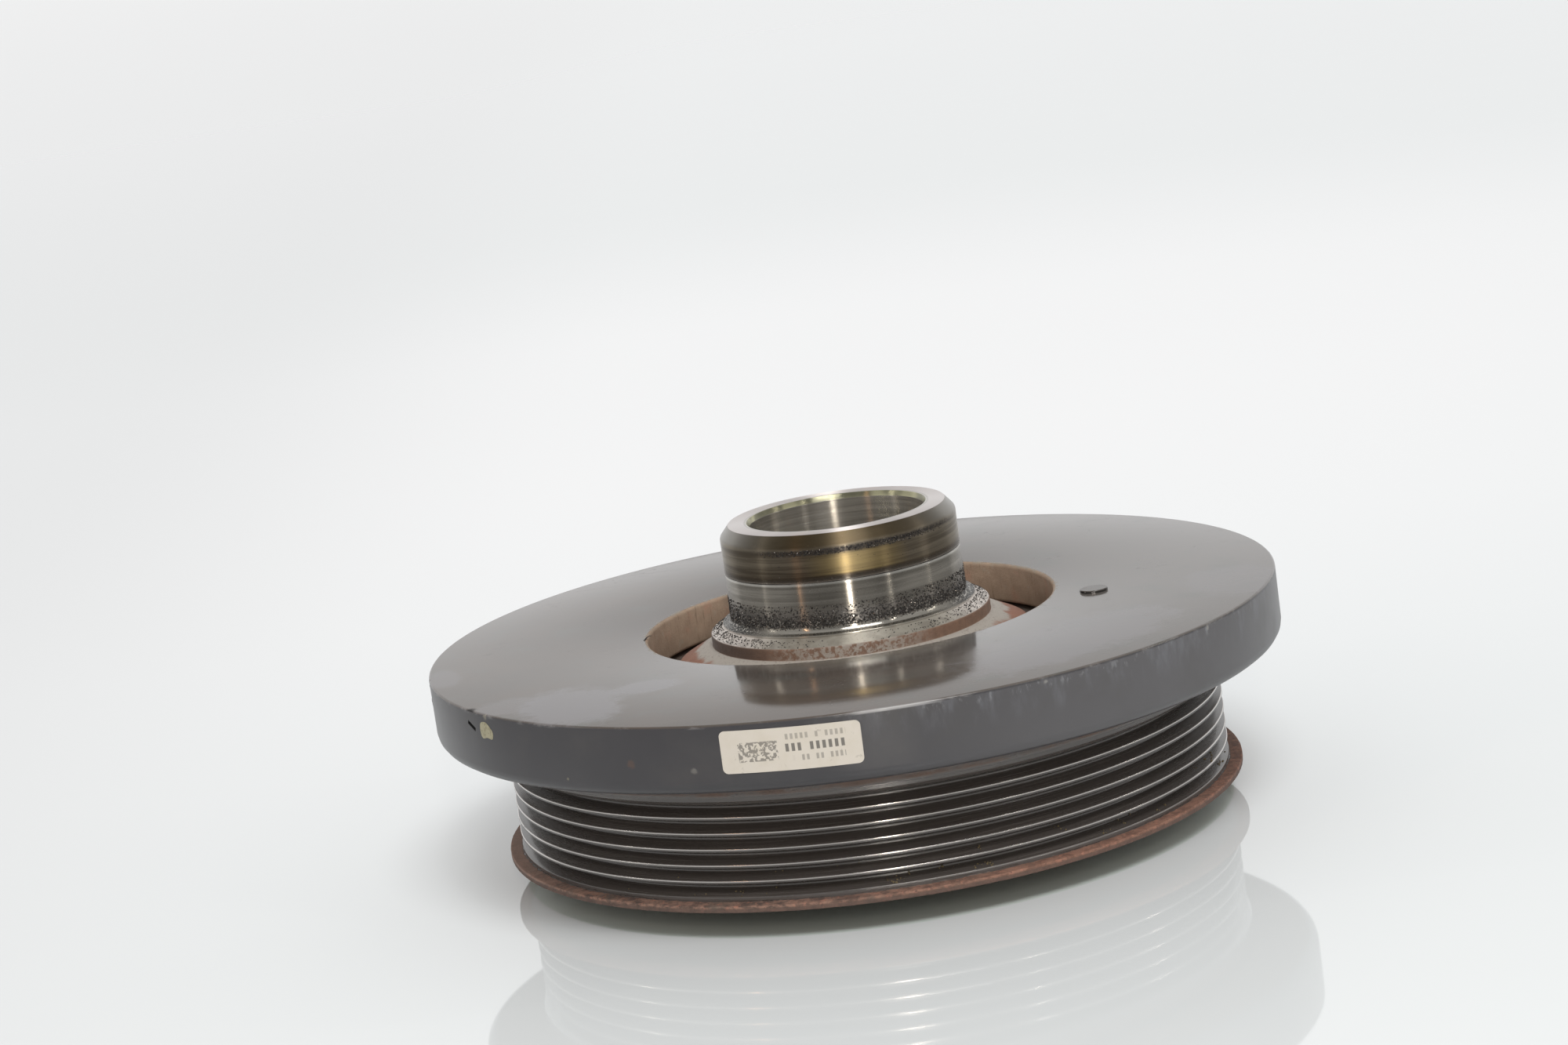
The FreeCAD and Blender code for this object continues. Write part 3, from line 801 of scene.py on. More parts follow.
def pin_steel():
    """Pin under the ring's own dark film, with painted shade and a painted glint low on its head."""
    steel = Finish("darkened_pin_steel", "#453f3b", 0.2)
    steel.layer(steel.rise(steel.noise(1.2, detail=4.0), 0.45, 0.7), "#55504b", 0.3)
    # Painted shade: the head is painted near black low down, next to the ring's face.
    flank = steel.rise(steel.z, ring_top + 0.5, ring_top + 0.3)
    steel.layer(flank, "#1c1a19", 0.5)
    # Painted glint: bright metal spots in that dark part.
    glint = steel.rise(steel.noise(0.7, detail=3.0, shift=3.0), 0.56, 0.64)
    steel.layer(steel.both(flank, glint, 0.8), "#b3aeab", 0.3, 0.9)
    return steel.done()


def label_film():
    """Cream sticker with a mottled block and rows of plain grey bars."""
    film = Finish("label_film", "#cfc8bd", 0.5, Coat_Weight=0.15)
    tangent = (-math.sin(label_azimuth), math.cos(label_azimuth), 0.0)
    along = film.vector("DOT_PRODUCT", film.place, tangent, result="Value")
    up = film.math("SUBTRACT", film.z, ring_top - label_centre_drop)
    film.layer(film.both(film.rise(film.noise(4.0, detail=4.0), 0.4, 0.75), 0.5), "#c6beae", 0.6)
    grime = film.rise(film.noise(1.3, detail=4.0, shift=5.0), 0.64, 0.74)
    film.layer(film.both(grime, 0.5), "#8f877a", 0.6)

    left, right, bottom, top = label_block
    block = film.both(film.band(along, left, right, 0.12), film.band(up, bottom, top, 0.12))
    mottle = film.rise(film.noise(0.75, detail=2.0, shift=21.0), 0.46, 0.53)
    film.layer(film.both(block, mottle, 0.8), "#6d6963", 0.6)
    for low, high, first, last, pitch, dark in label_rows:
        cell = film.math("DIVIDE", along, pitch)
        number = film.math("FLOOR", cell)
        within = film.band(film.math("FRACT", cell), 0.2, 0.75, 0.06)
        chance = film.node("TexWhiteNoise", noise_dimensions="1D")
        feed(film.tree, chance.inputs["W"], film.math("ADD", number, low * 7.0))
        kept = film.rise(chance.outputs["Value"], 0.22, 0.24)
        bar = film.both(film.band(up, low, high, 0.1), film.band(along, first, last, 0.05), within, kept)
        film.layer(film.both(bar, dark), "#55524e", 0.6)
    return film.done()


def grit_finish():
    """Black baked grit with a few shiny grains."""
    grit = Finish("baked_grit", "#1d1b1a", 0.5, 0.0)
    grit.layer(grit.rise(grit.noise(0.4, detail=1.0), 0.52, 0.58), "#77716b", 0.22, 0.8)
    return grit.done()


def dried_dirt_finish():
    """Yellow-brown dirt dried in the lowest grooves."""
    dirt = Finish("dried_dirt", "#7a6c4c", 0.85)
    dirt.layer(dirt.noise(0.8, detail=2.0), "#4d4333", 0.9)
    return dirt.done()


def old_paint_finish():
    """Pale yellow paint splash, cracked and dirty at its edge."""
    splash = Finish("old_paint_splash", "#a8a288", 0.55)
    splash.layer(splash.rise(splash.noise(1.2, detail=4.0), 0.45, 0.7), "#8f8970", 0.65)
    splash.layer(splash.rise(splash.noise(0.5, detail=3.0, shift=5.0), 0.62, 0.7), "#5f594a", 0.8)
    return splash.done()


def torn_coating_finish():
    """Torn flake of black coating that stands off the ring's edge."""
    flake = Finish("torn_coating_flake", "#151515", 0.5)
    flake.layer(flake.noise(0.6, detail=2.0), "#2b2a29", 0.6)
    return flake.done()


class TreeBuilder:
    """A Geometry Nodes tree with named inputs, built node by node."""

    def __init__(self, name, sockets):
        self.tree = bpy.data.node_groups.new(name, "GeometryNodeTree")
        for way in ("INPUT", "OUTPUT"):
            self.tree.interface.new_socket("Geometry", in_out=way, socket_type="NodeSocketGeometry")
        for label, kind in sockets.items():
            self.tree.interface.new_socket(label, in_out="INPUT", socket_type="NodeSocket" + kind)
        self.inputs = self.tree.nodes.new("NodeGroupInput").outputs
        self.end = self.tree.nodes.new("NodeGroupOutput")

    def node(self, kind, named=None, **settings):
        """Adds a node with named inputs and settings."""
        node = self.tree.nodes.new(kind)
        for label, value in settings.items():
            setattr(node, label, value)
        for label, value in (named or {}).items():
            feed(self.tree, node.inputs[label], value)
        return node

    def math(self, operation, *values):
        node = self.node("ShaderNodeMath", operation=operation)
        for socket, value in zip(node.inputs, values):
            feed(self.tree, socket, value)
        return node.outputs[0]

    def vector(self, operation, *values, named=None):
        node = self.node("ShaderNodeVectorMath", named, operation=operation)
        for socket, value in zip(node.inputs, values):
            feed(self.tree, socket, value)
        return node.outputs[0]

    def combine(self, x, y, z):
        return self.node("ShaderNodeCombineXYZ", {"X": x, "Y": y, "Z": z}).outputs[0]

    def finish(self, geometry):
        """Ends the tree: instances made real and the finish set."""
        real = self.node("GeometryNodeRealizeInstances", {"Geometry": geometry})
        finished = self.node("GeometryNodeSetMaterial", {
            "Geometry": real.outputs[0],
            "Material": self.inputs["Finish"],
        })
        feed(self.tree, self.end.inputs["Geometry"], finished.outputs[0])
        return self.tree


def turned_tree():
    """Turns a profile about the axis and eats pits into what it marks as rough."""
    build = TreeBuilder("turned_piece", {
        "Profile": "Object", "Segments": "Int", "Profile Points": "Int", "Steps": "Int",
        "Pit Depth": "Float", "Pit Size": "Float", "Finish": "Material",
    })
    put = build.inputs
    profile = build.node("GeometryNodeObjectInfo", {"Object": put["Profile"]}).outputs["Geometry"]
    place = build.node("GeometryNodeInputPosition").outputs[0]
    grid = build.node("GeometryNodeMeshGrid", {
        "Size X": 1.0, "Size Y": 1.0,
        "Vertices X": build.math("ADD", put["Segments"], 1.0),
        "Vertices Y": build.math("ADD", put["Steps"], 1.0),
    }).outputs["Mesh"]
    split = build.node("ShaderNodeSeparateXYZ", {"Vector": place}).outputs
    row = build.math("ROUND", build.math("MULTIPLY", build.math("ADD", split["Y"], 0.5), put["Steps"]))
    row = build.math("MODULO", row, put["Profile Points"])
    corner = build.node("GeometryNodeSampleIndex", {"Geometry": profile, "Index": row},
                        data_type="FLOAT_VECTOR")
    feed(build.tree, corner.inputs["Value"], place)
    across = build.node("ShaderNodeSeparateXYZ", {"Vector": corner.outputs[0]}).outputs
    angle = build.math("MULTIPLY", build.math("ADD", split["X"], 0.5), math.tau)
    x = build.math("MULTIPLY", across["X"], build.math("COSINE", angle))
    y = build.math("MULTIPLY", across["X"], build.math("SINE", angle))
    roughened = build.node("GeometryNodeInputNamedAttribute", {"Name": "roughened"}, data_type="FLOAT")
    rough = build.node("GeometryNodeSampleIndex", {"Geometry": profile, "Index": row}, data_type="FLOAT")
    feed(build.tree, rough.inputs["Value"], roughened.outputs[0])
    kept = build.node("GeometryNodeStoreNamedAttribute", {
        "Geometry": grid, "Name": "roughened", "Value": rough.outputs[0],
    }, data_type="FLOAT", domain="POINT")
    turned = build.node("GeometryNodeSetPosition", {
        "Geometry": kept.outputs[0], "Position": build.combine(x, y, across["Z"]),
    })
    merged = build.node("GeometryNodeMergeByDistance", {
        "Geometry": turned.outputs[0], "Distance": weld_distance * MM,
    })
    normal = build.node("GeometryNodeInputNormal").outputs[0]
    spot = build.vector("SCALE", place, named={"Scale": build.math("DIVIDE", 1.0, put["Pit Size"])})
    noise = build.node("ShaderNodeTexNoise", {"Vector": spot, "Scale": 1.0, "Detail": 4.0}).outputs[0]
    eaten = build.math("MULTIPLY", build.math("SMOOTH_MIN", noise, 0.5, 0.1), put["Pit Depth"])
    eaten = build.math("MULTIPLY", eaten, roughened.outputs[0])
    pitted = build.node("GeometryNodeSetPosition", {
        "Geometry": merged.outputs[0],
        "Offset": build.vector("SCALE", normal, named={"Scale": build.math("MULTIPLY", eaten, -2.0)}),
    })
    smooth = build.node("GeometryNodeSetShadeSmooth", {"Geometry": pitted.outputs[0]})
    return build.finish(smooth.outputs[0])


def grit_tree():
    """Scatters small grains on a turned band between two radii and two heights."""
    build = TreeBuilder("grit_band", {
        "Grains": "Int", "Low Radius": "Float", "Low Height": "Float", "High Radius": "Float",
        "High Height": "Float", "Crowding": "Float", "Facing": "Vector", "Facing Least": "Float",
        "Facing Most": "Float", "Patch Size": "Float", "Patch Level": "Float", "Smallest": "Float",
        "Largest": "Float", "Seed": "Int", "Finish": "Material",
    })
    put = build.inputs

    def chance(low, high, seed, kind="FLOAT"):
        node = build.node("FunctionNodeRandomValue", data_type=kind)
        ends = [socket for socket in node.inputs if socket.enabled and socket.name in ("Min", "Max")]
        feed(build.tree, ends[0], low)
        feed(build.tree, ends[1], high)
        feed(build.tree, node.inputs["Seed"], build.math("ADD", put["Seed"], seed))
        return next(socket for socket in node.outputs if socket.enabled)

    share = build.math("POWER", chance(0.0, 1.0, 1), put["Crowding"])
    angle = chance(0.0, math.tau, 2)
    wide = build.math("SUBTRACT", put["High Radius"], put["Low Radius"])
    radius = build.math("MULTIPLY_ADD", share, wide, put["Low Radius"])
    tall = build.math("SUBTRACT", put["High Height"], put["Low Height"])
    height = build.math("MULTIPLY_ADD", share, tall, put["Low Height"])
    outward = build.combine(build.math("COSINE", angle), build.math("SINE", angle), 0.0)
    flat = build.vector("SCALE", outward, named={"Scale": radius})
    points = build.node("GeometryNodePoints", {
        "Count": put["Grains"],
        "Position": build.vector("ADD", flat, build.combine(0.0, 0.0, height)),
    }).outputs[0]
    place = build.node("GeometryNodeInputPosition").outputs[0]
    spot = build.vector("SCALE", place, named={"Scale": build.math("DIVIDE", 1.0, put["Patch Size"])})
    patch = build.node("ShaderNodeTexNoise", {"Vector": spot, "Scale": 1.0, "Detail": 3.0}).outputs[0]
    aside = build.vector("NORMALIZE", build.vector("MULTIPLY", place, (1.0, 1.0, 0.0)))
    dot = build.node("ShaderNodeVectorMath", operation="DOT_PRODUCT")
    feed(build.tree, dot.inputs[0], aside)
    feed(build.tree, dot.inputs[1], put["Facing"])
    weight = build.node("ShaderNodeMapRange", {
        "Value": dot.outputs["Value"], "From Min": put["Facing Least"], "From Max": put["Facing Most"],
    }).outputs["Result"]
    bare = build.math("LESS_THAN", patch, put["Patch Level"])
    turned_away = build.math("GREATER_THAN", chance(0.0, 1.0, 3), weight)
    left = build.node("GeometryNodeDeleteGeometry", {
        "Geometry": points, "Selection": build.math("MAXIMUM", bare, turned_away),
    }, domain="POINT")
    grain = build.node("GeometryNodeMeshIcoSphere", {"Radius": 1.0, "Subdivisions": 1}).outputs[0]
    size = chance(put["Smallest"], put["Largest"], 4)
    squashed = build.vector("MULTIPLY", chance((0.6, 0.6, 0.4), (1.2, 1.2, 0.9), 5, "FLOAT_VECTOR"),
                            build.combine(size, size, size))
    placed = build.node("GeometryNodeInstanceOnPoints", {
        "Points": left.outputs[0], "Instance": grain,
        "Rotation": chance((0.0, 0.0, 0.0), (math.tau, math.tau, math.tau), 6, "FLOAT_VECTOR"),
        "Scale": squashed,
    })
    return build.finish(placed.outputs[0])


def new_piece(name, data):
    """An object of the scene that sits at the origin."""
    piece = bpy.data.objects.new(name, data)
    bpy.context.scene.collection.objects.link(piece)
    return piece


def run_tree(piece, tree, values):
    """Runs a tree on a piece with the given inputs and leaves a plain mesh."""
    modifier = piece.modifiers.new(tree.name, "NODES")
    modifier.node_group = tree
    for item in tree.interface.items_tree:
        if item.in_out == "INPUT" and item.name in values:
            modifier[item.identifier] = values[item.name]
    keep_result(piece)


def piece_from(shape, name, finish):
    """A piece of one finish from a closed shape, which is used up."""
    bmesh.ops.recalc_face_normals(shape, faces=shape.faces)
    mesh = bpy.data.meshes.new(name)
    shape.to_mesh(mesh)
    shape.free()
    mesh.materials.append(finish)
    return new_piece(name, mesh)


def keep_result(piece):
    """Turns the result of a piece's modifiers into its own mesh."""
    evaluated = piece.evaluated_get(bpy.context.evaluated_depsgraph_get())
    mesh = bpy.data.meshes.new_from_object(evaluated)
    mesh.name = piece.name
    for slot in reversed(range(len(mesh.materials))):
        if mesh.materials[slot] is None:
            mesh.materials.pop(index=slot)
    piece.modifiers.clear()
    piece.data = mesh


def profile_points(corners, closed):
    """Points (radius, height, rough) of a turned profile, each corner's round as a short arc."""
    points = []
    for index, (radius, height, size, rough) in enumerate(corners):
        if not size:
            points.append((radius, height, rough))
            continue
        here = Vector((radius, 0.0, height))
        before = Vector((corners[index - 1][0], 0.0, corners[index - 1][1])) - here
        following = corners[(index + 1) % len(corners)]
        after = Vector((following[0], 0.0, following[1])) - here
        before.normalize()
        after.normalize()
        half = before.angle(after) / 2.0
        centre = here + (before + after).normalized() * size / math.sin(half)
        start = here + before * size / math.tan(half) - centre
        finish = here + after * size / math.tan(half) - centre
        for step in range(round_steps + 1):
            spot = centre + start.slerp(finish, step / round_steps).normalized() * size
            points.append((spot.x, spot.z, rough))
    ends = points[1:] + (points[:1] if closed else [])
    fine = []
    for first, second in zip(points, ends):
        fine.append(first)
        span = math.dist(first[:2], second[:2])
        pieces = int(span / rough_step) if first[2] and second[2] else 1
        for step in range(1, pieces):
            share = step / pieces
            fine.append(tuple(a + (b - a) * share for a, b in zip(first, second)))
    return fine if closed else fine + points[-1:]


def turned_piece(name, corners, segments, finish, closed=True, pit_depth=0.0, pit_size=1.0):
    """A piece turned from (radius, height, round, rough) corners, which run anticlockwise."""
    points = profile_points(corners, closed)
    outline = bpy.data.meshes.new(name + "_profile")
    edges = [(index, index + 1) for index in range(len(points) - 1)]
    outline.from_pydata([(radius * MM, 0.0, height * MM) for radius, height, rough in points], edges, [])
    roughened = outline.attributes.new("roughened", "FLOAT", "POINT")
    roughened.data.foreach_set("value", [rough for radius, height, rough in points])
    profile = new_piece(name + "_profile", outline)
    piece = new_piece(name, bpy.data.meshes.new(name))
    run_tree(piece, turning, {
        "Profile": profile,
        "Segments": segments,
        "Profile Points": len(points),
        "Steps": len(points) if closed else len(points) - 1,
        "Pit Depth": pit_depth * MM,
        "Pit Size": pit_size * MM,
        "Finish": finish,
    })
    bpy.data.objects.remove(profile)
    piece.data.set_sharp_from_angle(angle=sharp_angle)
    return piece


def groove_corners():
    """The V-grooves from the flange up to the lip, with rubbed crests."""
    corners = []
    flank = (groove_width - root_width) / 2.0
    for index in range(groove_count):
        low = first_groove + index * groove_pitch
        corners.append((crest_radius, low, crest_round, 0.0))
        corners.append((root_radius, low + flank, root_round, 0.0))
        corners.append((root_radius, low + flank + root_width, root_round, 0.0))
        corners.append((crest_radius, low + groove_width, crest_round, 0.0))
    return corners


def make_belt_rim():
    """Belt pulley: flange, grooves, lip, web and the neck on the decoupler."""
    corners = [
        (neck_inner, flange_low, pulley_edge_round, 0.0),
        (flange_radius, flange_low, flange_edge_round, 1.0),
        (flange_radius, flange_top, flange_edge_round, 1.0),
        (crest_radius, flange_top, 0.0, 0.2),
    ]
    corners += groove_corners()
    corners += [
        (lip_radius, last_groove_end + lip_radius - crest_radius, 0.0, 0.0),
        (lip_radius, lip_top, lip_round, 0.0),
        (rim_inner, lip_top, lip_round, 0.0),
        (rim_inner, pulley_web_top, pulley_web_fillet, 0.0),
        (neck_outer, pulley_web_top, 0.0, 0.0),
        (neck_outer, neck_top, pulley_neck_round, 0.0),
        (neck_inner, neck_top, 0.0, 0.0),
    ]
    return turned_piece("belt_rim", corners, rim_segments, belt_rim_finish(),
                        pit_depth=rim_pit_depth, pit_size=rim_pit_size)


def cut_gouge(ring):
    """Cuts the slanting knock mark into the ring's side."""
    block = bpy.data.meshes.new("gouge")
    shape = bmesh.new()
    bmesh.ops.create_cube(shape, size=1.0)
    size = Matrix.Diagonal((2.0 * gouge_depth * MM, gouge_length * MM, gouge_width * MM, 1.0))
    slant = Matrix.Rotation(-gouge_slant, 4, "X")
    out = Matrix.Translation((ring_radius * MM, 0.0, (ring_top - gouge_drop) * MM))
    place = Matrix.Rotation(gouge_azimuth, 4, "Z") @ out @ slant @ size
    bmesh.ops.transform(shape, matrix=place, verts=shape.verts)
    shape.to_mesh(block)
    shape.free()
    cutter = new_piece("gouge", block)
    cut = ring.modifiers.new("gouge", "BOOLEAN")
    cut.operation = "DIFFERENCE"
    cut.solver = "EXACT"
    cut.object = cutter
    keep_result(ring)
    bpy.data.objects.remove(cutter)


def make_ring():
    """Inertia ring: disc, skirt and leg, with the knock mark."""
    corners = [
        (ring_bore_radius, disc_bottom, ring_bore_round, 0.0),
        (leg_inner, disc_bottom, 0.0, 0.0),
        (leg_inner, leg_bottom, leg_round, 0.0),
        (leg_outer, leg_bottom, leg_round, 0.0),
        (leg_outer, disc_bottom, ring_inner_round, 0.0),
        (skirt_inner, disc_bottom, ring_inner_round, 0.0),
        (skirt_inner, skirt_bottom, 0.0, 0.0),
        (ring_radius, skirt_bottom, ring_bottom_round, 0.0),
        (ring_radius, ring_top, ring_top_round, 0.0),
        (ring_bore_radius, ring_top, ring_bore_round, 0.0),
    ]
    ring = turned_piece("ring", corners, ring_segments, ring_coating())
    cut_gouge(ring)
    ring.data.set_sharp_from_angle(angle=sharp_angle)
    return ring


def close_bolt_flange(hub):
    """Closes the hub's inner flange between bore and recess, with the bolt holes through it."""
    shape = bmesh.new()
    shape.from_mesh(hub.data)
    middle = (bore_seat + recess_top) / 2.0 * MM
    open_edges = [edge for edge in shape.edges if edge.is_boundary]
    seat_edges = [edge for edge in open_edges if edge.verts[0].co.z > middle]
    recess_edges = [edge for edge in open_edges if edge.verts[0].co.z < middle]
    hole_rings = (
        (bolt_hole_radius, bore_seat),
        (bolt_hole_radius, recess_top + bolt_hole_chamfer),
        (bolt_hole_radius + bolt_hole_chamfer, recess_top),
    )
    for index in range(bolt_count):
        azimuth = first_bolt_azimuth + index * math.tau / bolt_count
        rings = []
        for radius, height in hole_rings:
            centre = polar(bolt_circle_radius, azimuth, height)
            turns = [step * math.tau / bolt_hole_segments for step in range(bolt_hole_segments)]
            rings.append([shape.verts.new(centre + polar(radius, turn, 0.0)) for turn in turns])
        for step in range(bolt_hole_segments):
            after = (step + 1) % bolt_hole_segments
            seat_edges.append(shape.edges.new((rings[0][step], rings[0][after])))
            recess_edges.append(shape.edges.new((rings[2][step], rings[2][after])))
            for upper, lower in zip(rings, rings[1:]):
                shape.faces.new((upper[step], upper[after], lower[after], lower[step])).smooth = True
    for edges in (seat_edges, recess_edges):
        bmesh.ops.triangle_fill(shape, use_beauty=True, use_dissolve=False, edges=edges, normal=(0, 0, 1))
    bmesh.ops.recalc_face_normals(shape, faces=shape.faces)
    shape.to_mesh(hub.data)
    shape.free()
    hub.data.set_sharp_from_angle(angle=sharp_angle)


def make_hub():
    """Turned hub: nose, recess, web, rim, shoulder, collar and seal sleeve."""
    corners = [
        (bore_radius + relief_depth, recess_top, 0.0, 0.0),
        (recess_radius, recess_top, web_fillet, 0.0),
        (recess_radius, nose_chamfer, 0.0, 0.0),
        (recess_radius + nose_chamfer, 0.0, 0.0, 0.0),
        (nose_radius - nose_chamfer, 0.0, 0.0, 0.0),
        (nose_radius, nose_chamfer, 0.0, 0.0),
        (nose_radius, hub_web_bottom, web_fillet, 0.0),
        (hub_rim_inner, hub_web_bottom, web_fillet, 0.0),
        (hub_rim_inner, hub_rim_end, hub_rim_end_round, 0.0),
        (hub_rim_outer, hub_rim_end, 0.0, 0.0),
        (hub_rim_outer, hub_web_top - hub_rim_chamfer, 0.0, 0.0),
        (hub_rim_outer - hub_rim_chamfer, hub_web_top, 0.0, 0.0),
        (shoulder_radius, hub_web_top, shoulder_round, 1.0),
        (shoulder_radius, shoulder_edge, shoulder_round, 1.0),
        (collar_radius + shoulder_ledge, shoulder_top, 0.0, 1.0),
        (collar_radius, shoulder_top, collar_foot_round, 1.0),
        (collar_radius, collar_edge, collar_round, 1.0),
        (foot_radius, collar_top, 0.0, 0.3),
        (foot_radius, foot_top, foot_round, 0.0),
        (sleeve_radius, foot_top, foot_fillet, 0.0),
        (sleeve_radius, seal_line - seal_line_width, 0.0, 0.0),
        (sleeve_radius - seal_line_depth, seal_line, 0.0, 0.0),
        (sleeve_radius, seal_line + seal_line_width, 0.0, 0.0),
        (sleeve_radius, lead_in_start, lead_in_round, 0.0),
        (lead_in_radius, sleeve_top, sleeve_end_round, 0.0),
        (bore_mouth_radius, sleeve_top, bore_mouth_round, 0.0),
        (bore_radius, sleeve_top - bore_mouth_depth, bore_edge_round, 0.0),
        (bore_radius, bore_seat + relief_length + relief_depth, 0.0, 0.0),
        (bore_radius + relief_depth, bore_seat + relief_length, 0.0, 0.0),
        (bore_radius + relief_depth, bore_seat, 0.0, 0.0),
    ]
    hub = turned_piece("turned_hub", corners, hub_segments, hub_steel(), closed=False,
                       pit_depth=hub_pit_depth, pit_size=hub_pit_size)
    close_bolt_flange(hub)
    return hub


def grit_band(name, finish, seed, grains, low, high, crowding=1.0, facing=-90.0, spread=(-1.1, -1.05),
              patch=(3.0, 0.0), grain=(0.08, 0.2)):
    """Grains between two (radius, height) ends, thickest towards an azimuth in degrees."""
    piece = new_piece(name, bpy.data.meshes.new(name))
    angle = math.radians(facing)
    run_tree(piece, scattering, {
        "Grains": grains,
        "Low Radius": low[0] * MM, "Low Height": low[1] * MM,
        "High Radius": high[0] * MM, "High Height": high[1] * MM,
        "Crowding": crowding,
        "Facing": (math.cos(angle), math.sin(angle), 0.0),
        "Facing Least": spread[0], "Facing Most": spread[1],
        "Patch Size": patch[0] * MM, "Patch Level": patch[1],
        "Smallest": grain[0] * MM, "Largest": grain[1] * MM,
        "Seed": seed,
        "Finish": finish,
    })
    return piece


def groove_flank(index):
    """Outer and inner end of a groove's lower flank, where dirt settles."""
    low = first_groove + index * groove_pitch
    return (crest_radius - 0.15, low + 0.1), (root_radius + 0.1, low + 1.3)


def make_grit():
    """Baked grit on the sleeve and the collar, and dirt in the lowest grooves."""
    grit = grit_finish()
    dirt = dried_dirt_finish()
    cone_top = (foot_radius + 0.3, collar_top - 0.1)
    cone_edge = (collar_radius - 0.4, collar_edge + 0.1)
    return [
        grit_band("sleeve_foot_grit", grit, 11, 5200, (sleeve_radius, foot_top + 1.0),
                  (sleeve_radius, foot_top + 6.4), crowding=1.4, patch=(1.6, 0.34), grain=(0.1, 0.26)),
        grit_band("lead_in_grit", grit, 23, 3600, (sleeve_radius, lead_in_start - 1.9),
                  (sleeve_radius, lead_in_start - 0.6), facing=-82.0, spread=(0.6, 0.98),
                  patch=(1.0, 0.42), grain=(0.08, 0.2)),
        grit_band("collar_grit_left", grit, 31, 2600, cone_edge, cone_top, facing=176.0,
                  spread=(0.1, 0.9), patch=(1.3, 0.38), grain=(0.08, 0.22)),
        grit_band("collar_grit_right", grit, 37, 1800, cone_edge, cone_top, facing=-4.0,
                  spread=(0.1, 0.9), patch=(1.3, 0.38), grain=(0.08, 0.22)),
        grit_band("groove_dirt_low", dirt, 41, 1500, *groove_flank(0), facing=-72.0,
                  spread=(0.2, 1.0), patch=(7.0, 0.58), grain=(0.1, 0.32)),
        grit_band("groove_dirt_second", dirt, 43, 1200, *groove_flank(1), facing=-66.0,
                  spread=(0.4, 1.0), patch=(8.0, 0.6), grain=(0.1, 0.28)),
    ]


def side_patch(name, outline, azimuth, height, thickness, finish):
    """A thin patch on the ring's side from an outline in millimetres along and up."""
    shape = bmesh.new()
    layers = []
    for lift in (-thickness, thickness):
        layers.append([
            shape.verts.new(polar(ring_radius + lift, azimuth + along / ring_radius, height + up))
            for along, up in outline
        ])
    shape.faces.new(layers[1])
    shape.faces.new(layers[0][::-1])
    for index in range(len(outline)):
        after = (index + 1) % len(outline)
        shape.faces.new((layers[0][index], layers[0][after], layers[1][after], layers[1][index]))
    return piece_from(shape, name, finish)


def smooth_outline(points, rounds=2):
    """A closed outline whose corners are cut at a quarter of each side, round after round."""
    for turn in range(rounds):
        cut = []
        for first, second in zip(points, points[1:] + points[:1]):
            cut.append(tuple(0.75 * a + 0.25 * b for a, b in zip(first, second)))
            cut.append(tuple(0.25 * a + 0.75 * b for a, b in zip(first, second)))
        points = cut
    return points


def make_paint_splash():
    """Splash of old paint on the ring's side, left of the sticker."""
    outline = smooth_outline(list(paint_outline))
    return side_patch("paint_splash", outline, paint_azimuth, paint_height, paint_thickness,
                      old_paint_finish())


def thin_strand(name, route, thickness, finish):
    """A tapering strand of torn coating through points in millimetres."""
    shape = bmesh.new()
    turns = [side * math.tau / strand_sides for side in range(strand_sides)]
    rings = []
    for index, point in enumerate(route):
        ahead = Vector(route[min(index + 1, len(route) - 1)]) - Vector(route[max(index - 1, 0)])
        lean = ahead.to_track_quat("Z", "X")
        width = thickness * (1.0 - strand_taper * index / (len(route) - 1)) / 2.0
        rings.append([
            shape.verts.new((Vector(point) + lean @ (polar(width, turn, 0.0) / MM)) * MM)
            for turn in turns
        ])
    for lower, upper in zip(rings, rings[1:]):
        for side in range(strand_sides):
            after = (side + 1) % strand_sides
            shape.faces.new((lower[side], lower[after], upper[after], upper[side])).smooth = True
    shape.faces.new(rings[0][::-1])
    shape.faces.new(rings[-1])
    return piece_from(shape, name, finish)


def make_flakes():
    """Two short strands of torn coating at the ring's left edge, and one in the hole's edge."""
    finish = torn_coating_finish()
    strands = []
    for name, profile in (("coating_flake_upper", upper_flake), ("coating_flake_lower", lower_flake)):
        route = [polar(radius, flake_azimuth, height) / MM for radius, height in profile]
        strands.append(thin_strand(name, route, flake_thickness, finish))
    strands.append(thin_strand("hole_edge_sliver", sliver_route, sliver_thickness, finish))
    return strands


def make_camera():
    """The camera as fitted to the photograph, turned a little from its aim at the pulley's axis."""
    sight = Vector((0.0, math.cos(camera_elevation), -math.sin(camera_elevation)))
    right = Vector((1.0, 0.0, 0.0))
    aim = (sight + camera_pan * right + camera_tilt * right.cross(sight)).normalized()
    side = aim.cross(right.cross(sight)).normalized()
    above = side.cross(aim)
    across = math.cos(camera_roll) * side + math.sin(camera_roll) * above
    upright = math.cos(camera_roll) * above - math.sin(camera_roll) * side
    lens = bpy.data.cameras.new("camera")
    lens.sensor_fit = "HORIZONTAL"
    lens.sensor_width = sensor_width
    lens.lens = focal_length_px * sensor_width / photo_width
    lens.clip_start, lens.clip_end = camera_clip
    camera = new_piece("camera", lens)
    place = Matrix((across, upright, -aim)).transposed().to_4x4()
    place.translation = (Vector((0.0, 0.0, camera_aim_height)) - sight * camera_distance) * MM
    camera.matrix_world = place
    bpy.context.scene.camera = camera


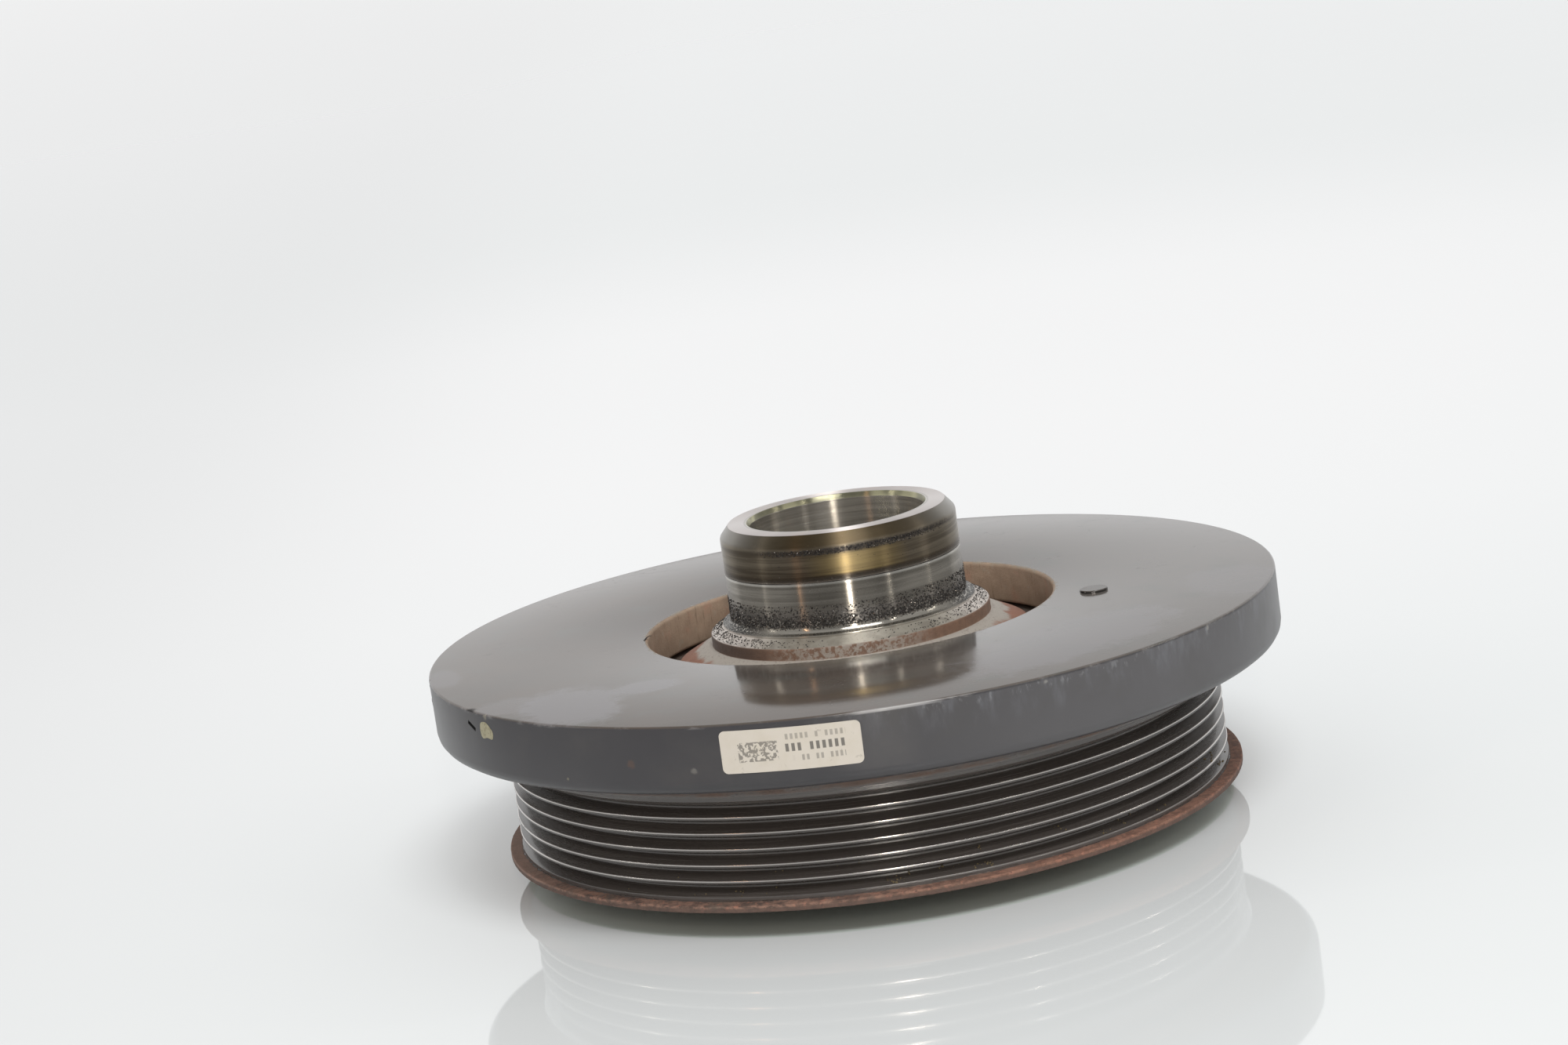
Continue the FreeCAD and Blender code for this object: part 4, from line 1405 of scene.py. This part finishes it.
def add_softbox(name, azimuth, elevation, width, power, colour):
    """A tall narrow softbox that faces the pulley from an azimuth and an elevation in degrees."""
    turn, lift = math.radians(azimuth), math.radians(elevation)
    level = math.cos(lift)
    direction = Vector((math.cos(turn) * level, math.sin(turn) * level, math.sin(lift)))
    light = bpy.data.lights.new(name, "AREA")
    light.shape = "RECTANGLE"
    light.size = width
    light.size_y = softbox_height
    light.energy = power
    light.color = paint(colour)[:3]
    lamp = new_piece(name, light)
    lamp.rotation_euler = direction.to_track_quat("Z", "Y").to_euler()
    lamp.location = direction * softbox_distance


def make_studio():
    """A pale backdrop, dimmer sides and front, two high front lights and five narrow softboxes."""
    world = bpy.data.worlds.new("studio")
    bpy.context.scene.world = world
    world.use_nodes = True
    tree = world.node_tree
    split = tree.nodes.new("ShaderNodeSeparateXYZ")
    tree.links.new(tree.nodes.new("ShaderNodeTexCoord").outputs["Generated"], split.inputs[0])
    total = tree.nodes.new("ShaderNodeMath")
    for socket, ends in zip(total.inputs, (front_to_side, side_to_backdrop)):
        step = tree.nodes.new("ShaderNodeMapRange")
        step.interpolation_type = "SMOOTHSTEP"
        for label, value in zip(("From Min", "From Max", "To Min", "To Max"), ends):
            step.inputs[label].default_value = value
        tree.links.new(split.outputs["Y"], step.inputs["Value"])
        tree.links.new(step.outputs["Result"], socket)
    background = tree.nodes["Background"]
    background.inputs["Strength"].default_value = 1.0
    grey = tree.nodes.new("ShaderNodeCombineColor")
    for channel in grey.inputs[:3]:
        tree.links.new(total.outputs[0], channel)
    tree.links.new(grey.outputs[0], background.inputs["Color"])

    for name, turn in zip(("high_light_left", "high_light_right"), high_light_turns):
        high = bpy.data.lights.new(name, "SUN")
        high.energy = high_light_strength
        high.angle = high_light_angle
        new_piece(name, high).rotation_euler = (math.pi / 2.0 - high_light_elevation, 0.0, turn)
    for box in softboxes:
        add_softbox(*box)


def make_floor():
    """A large pale glossy table, with painted light behind the pulley, painted shade on the left and greenish
    painted shade under it.
    """
    mesh = bpy.data.meshes.new("floor")
    corners = ((-floor_reach, -floor_reach), (floor_reach, -floor_reach),
               (floor_reach, floor_reach), (-floor_reach, floor_reach))
    mesh.from_pydata([(x, y, 0) for x, y in corners], [], [(0, 1, 2, 3)])
    table = Finish("pale_table", "#e9edee", 0.03, IOR=1.6)
    table.layer(table.both(table.noise(60.0, detail=4.0), 0.3), "#e5e9ea", 0.05)
    away = table.vector("DISTANCE", table.place, lit_floor_centre, result="Value")
    table.layer(table.rise(away, *lit_floor_fade), "#f8f9fa")
    # Painted shade toward the left of the table.
    table.layer(table.both(table.rise(table.x, *left_floor_shade), 0.8), "#dcdedf")
    # Greenish painted shade under the flange, where its shadow falls.
    table.layer(table.rise(table.radius, crest_radius + 0.6, crest_radius - 0.2), "#dde7e2")
    mesh.materials.append(table.done())
    floor = new_piece("floor", mesh)


def dress(node, finish):
    """Gives a node of the frame its finish."""
    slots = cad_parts[node].material_slots
    for slot in slots:
        slot.material = finish
    if not slots:
        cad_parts[node].data.materials.append(finish)


turning = turned_tree()
scattering = grit_tree()
make_camera()
make_studio()
make_floor()

ring = make_ring()
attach(ring, "root")
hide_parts("inertia_ring")

rim = make_belt_rim()
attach(rim, "root")
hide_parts("belt_pulley")

hub = make_hub()
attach(hub, "root")
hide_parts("hub")

for piece in make_grit() + make_flakes() + [make_paint_splash()]:
    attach(piece, "root")

rubber = black_rubber_finish()
tube_steel = drawn_tube_steel()
plastic = bearing_plastic()
for node, finish in (
    ("damper_rubber", rubber),
    ("decoupler_rubber", rubber),
    ("decoupler_inner_sleeve", tube_steel),
    ("decoupler_outer_sleeve", tube_steel),
    ("bearing_bush", plastic),
    ("thrust_ring", plastic),
    ("balance_pin", pin_steel()),
    ("label", label_film()),
):
    dress(node, finish)

bpy.context.scene.view_settings.view_transform = "Standard"
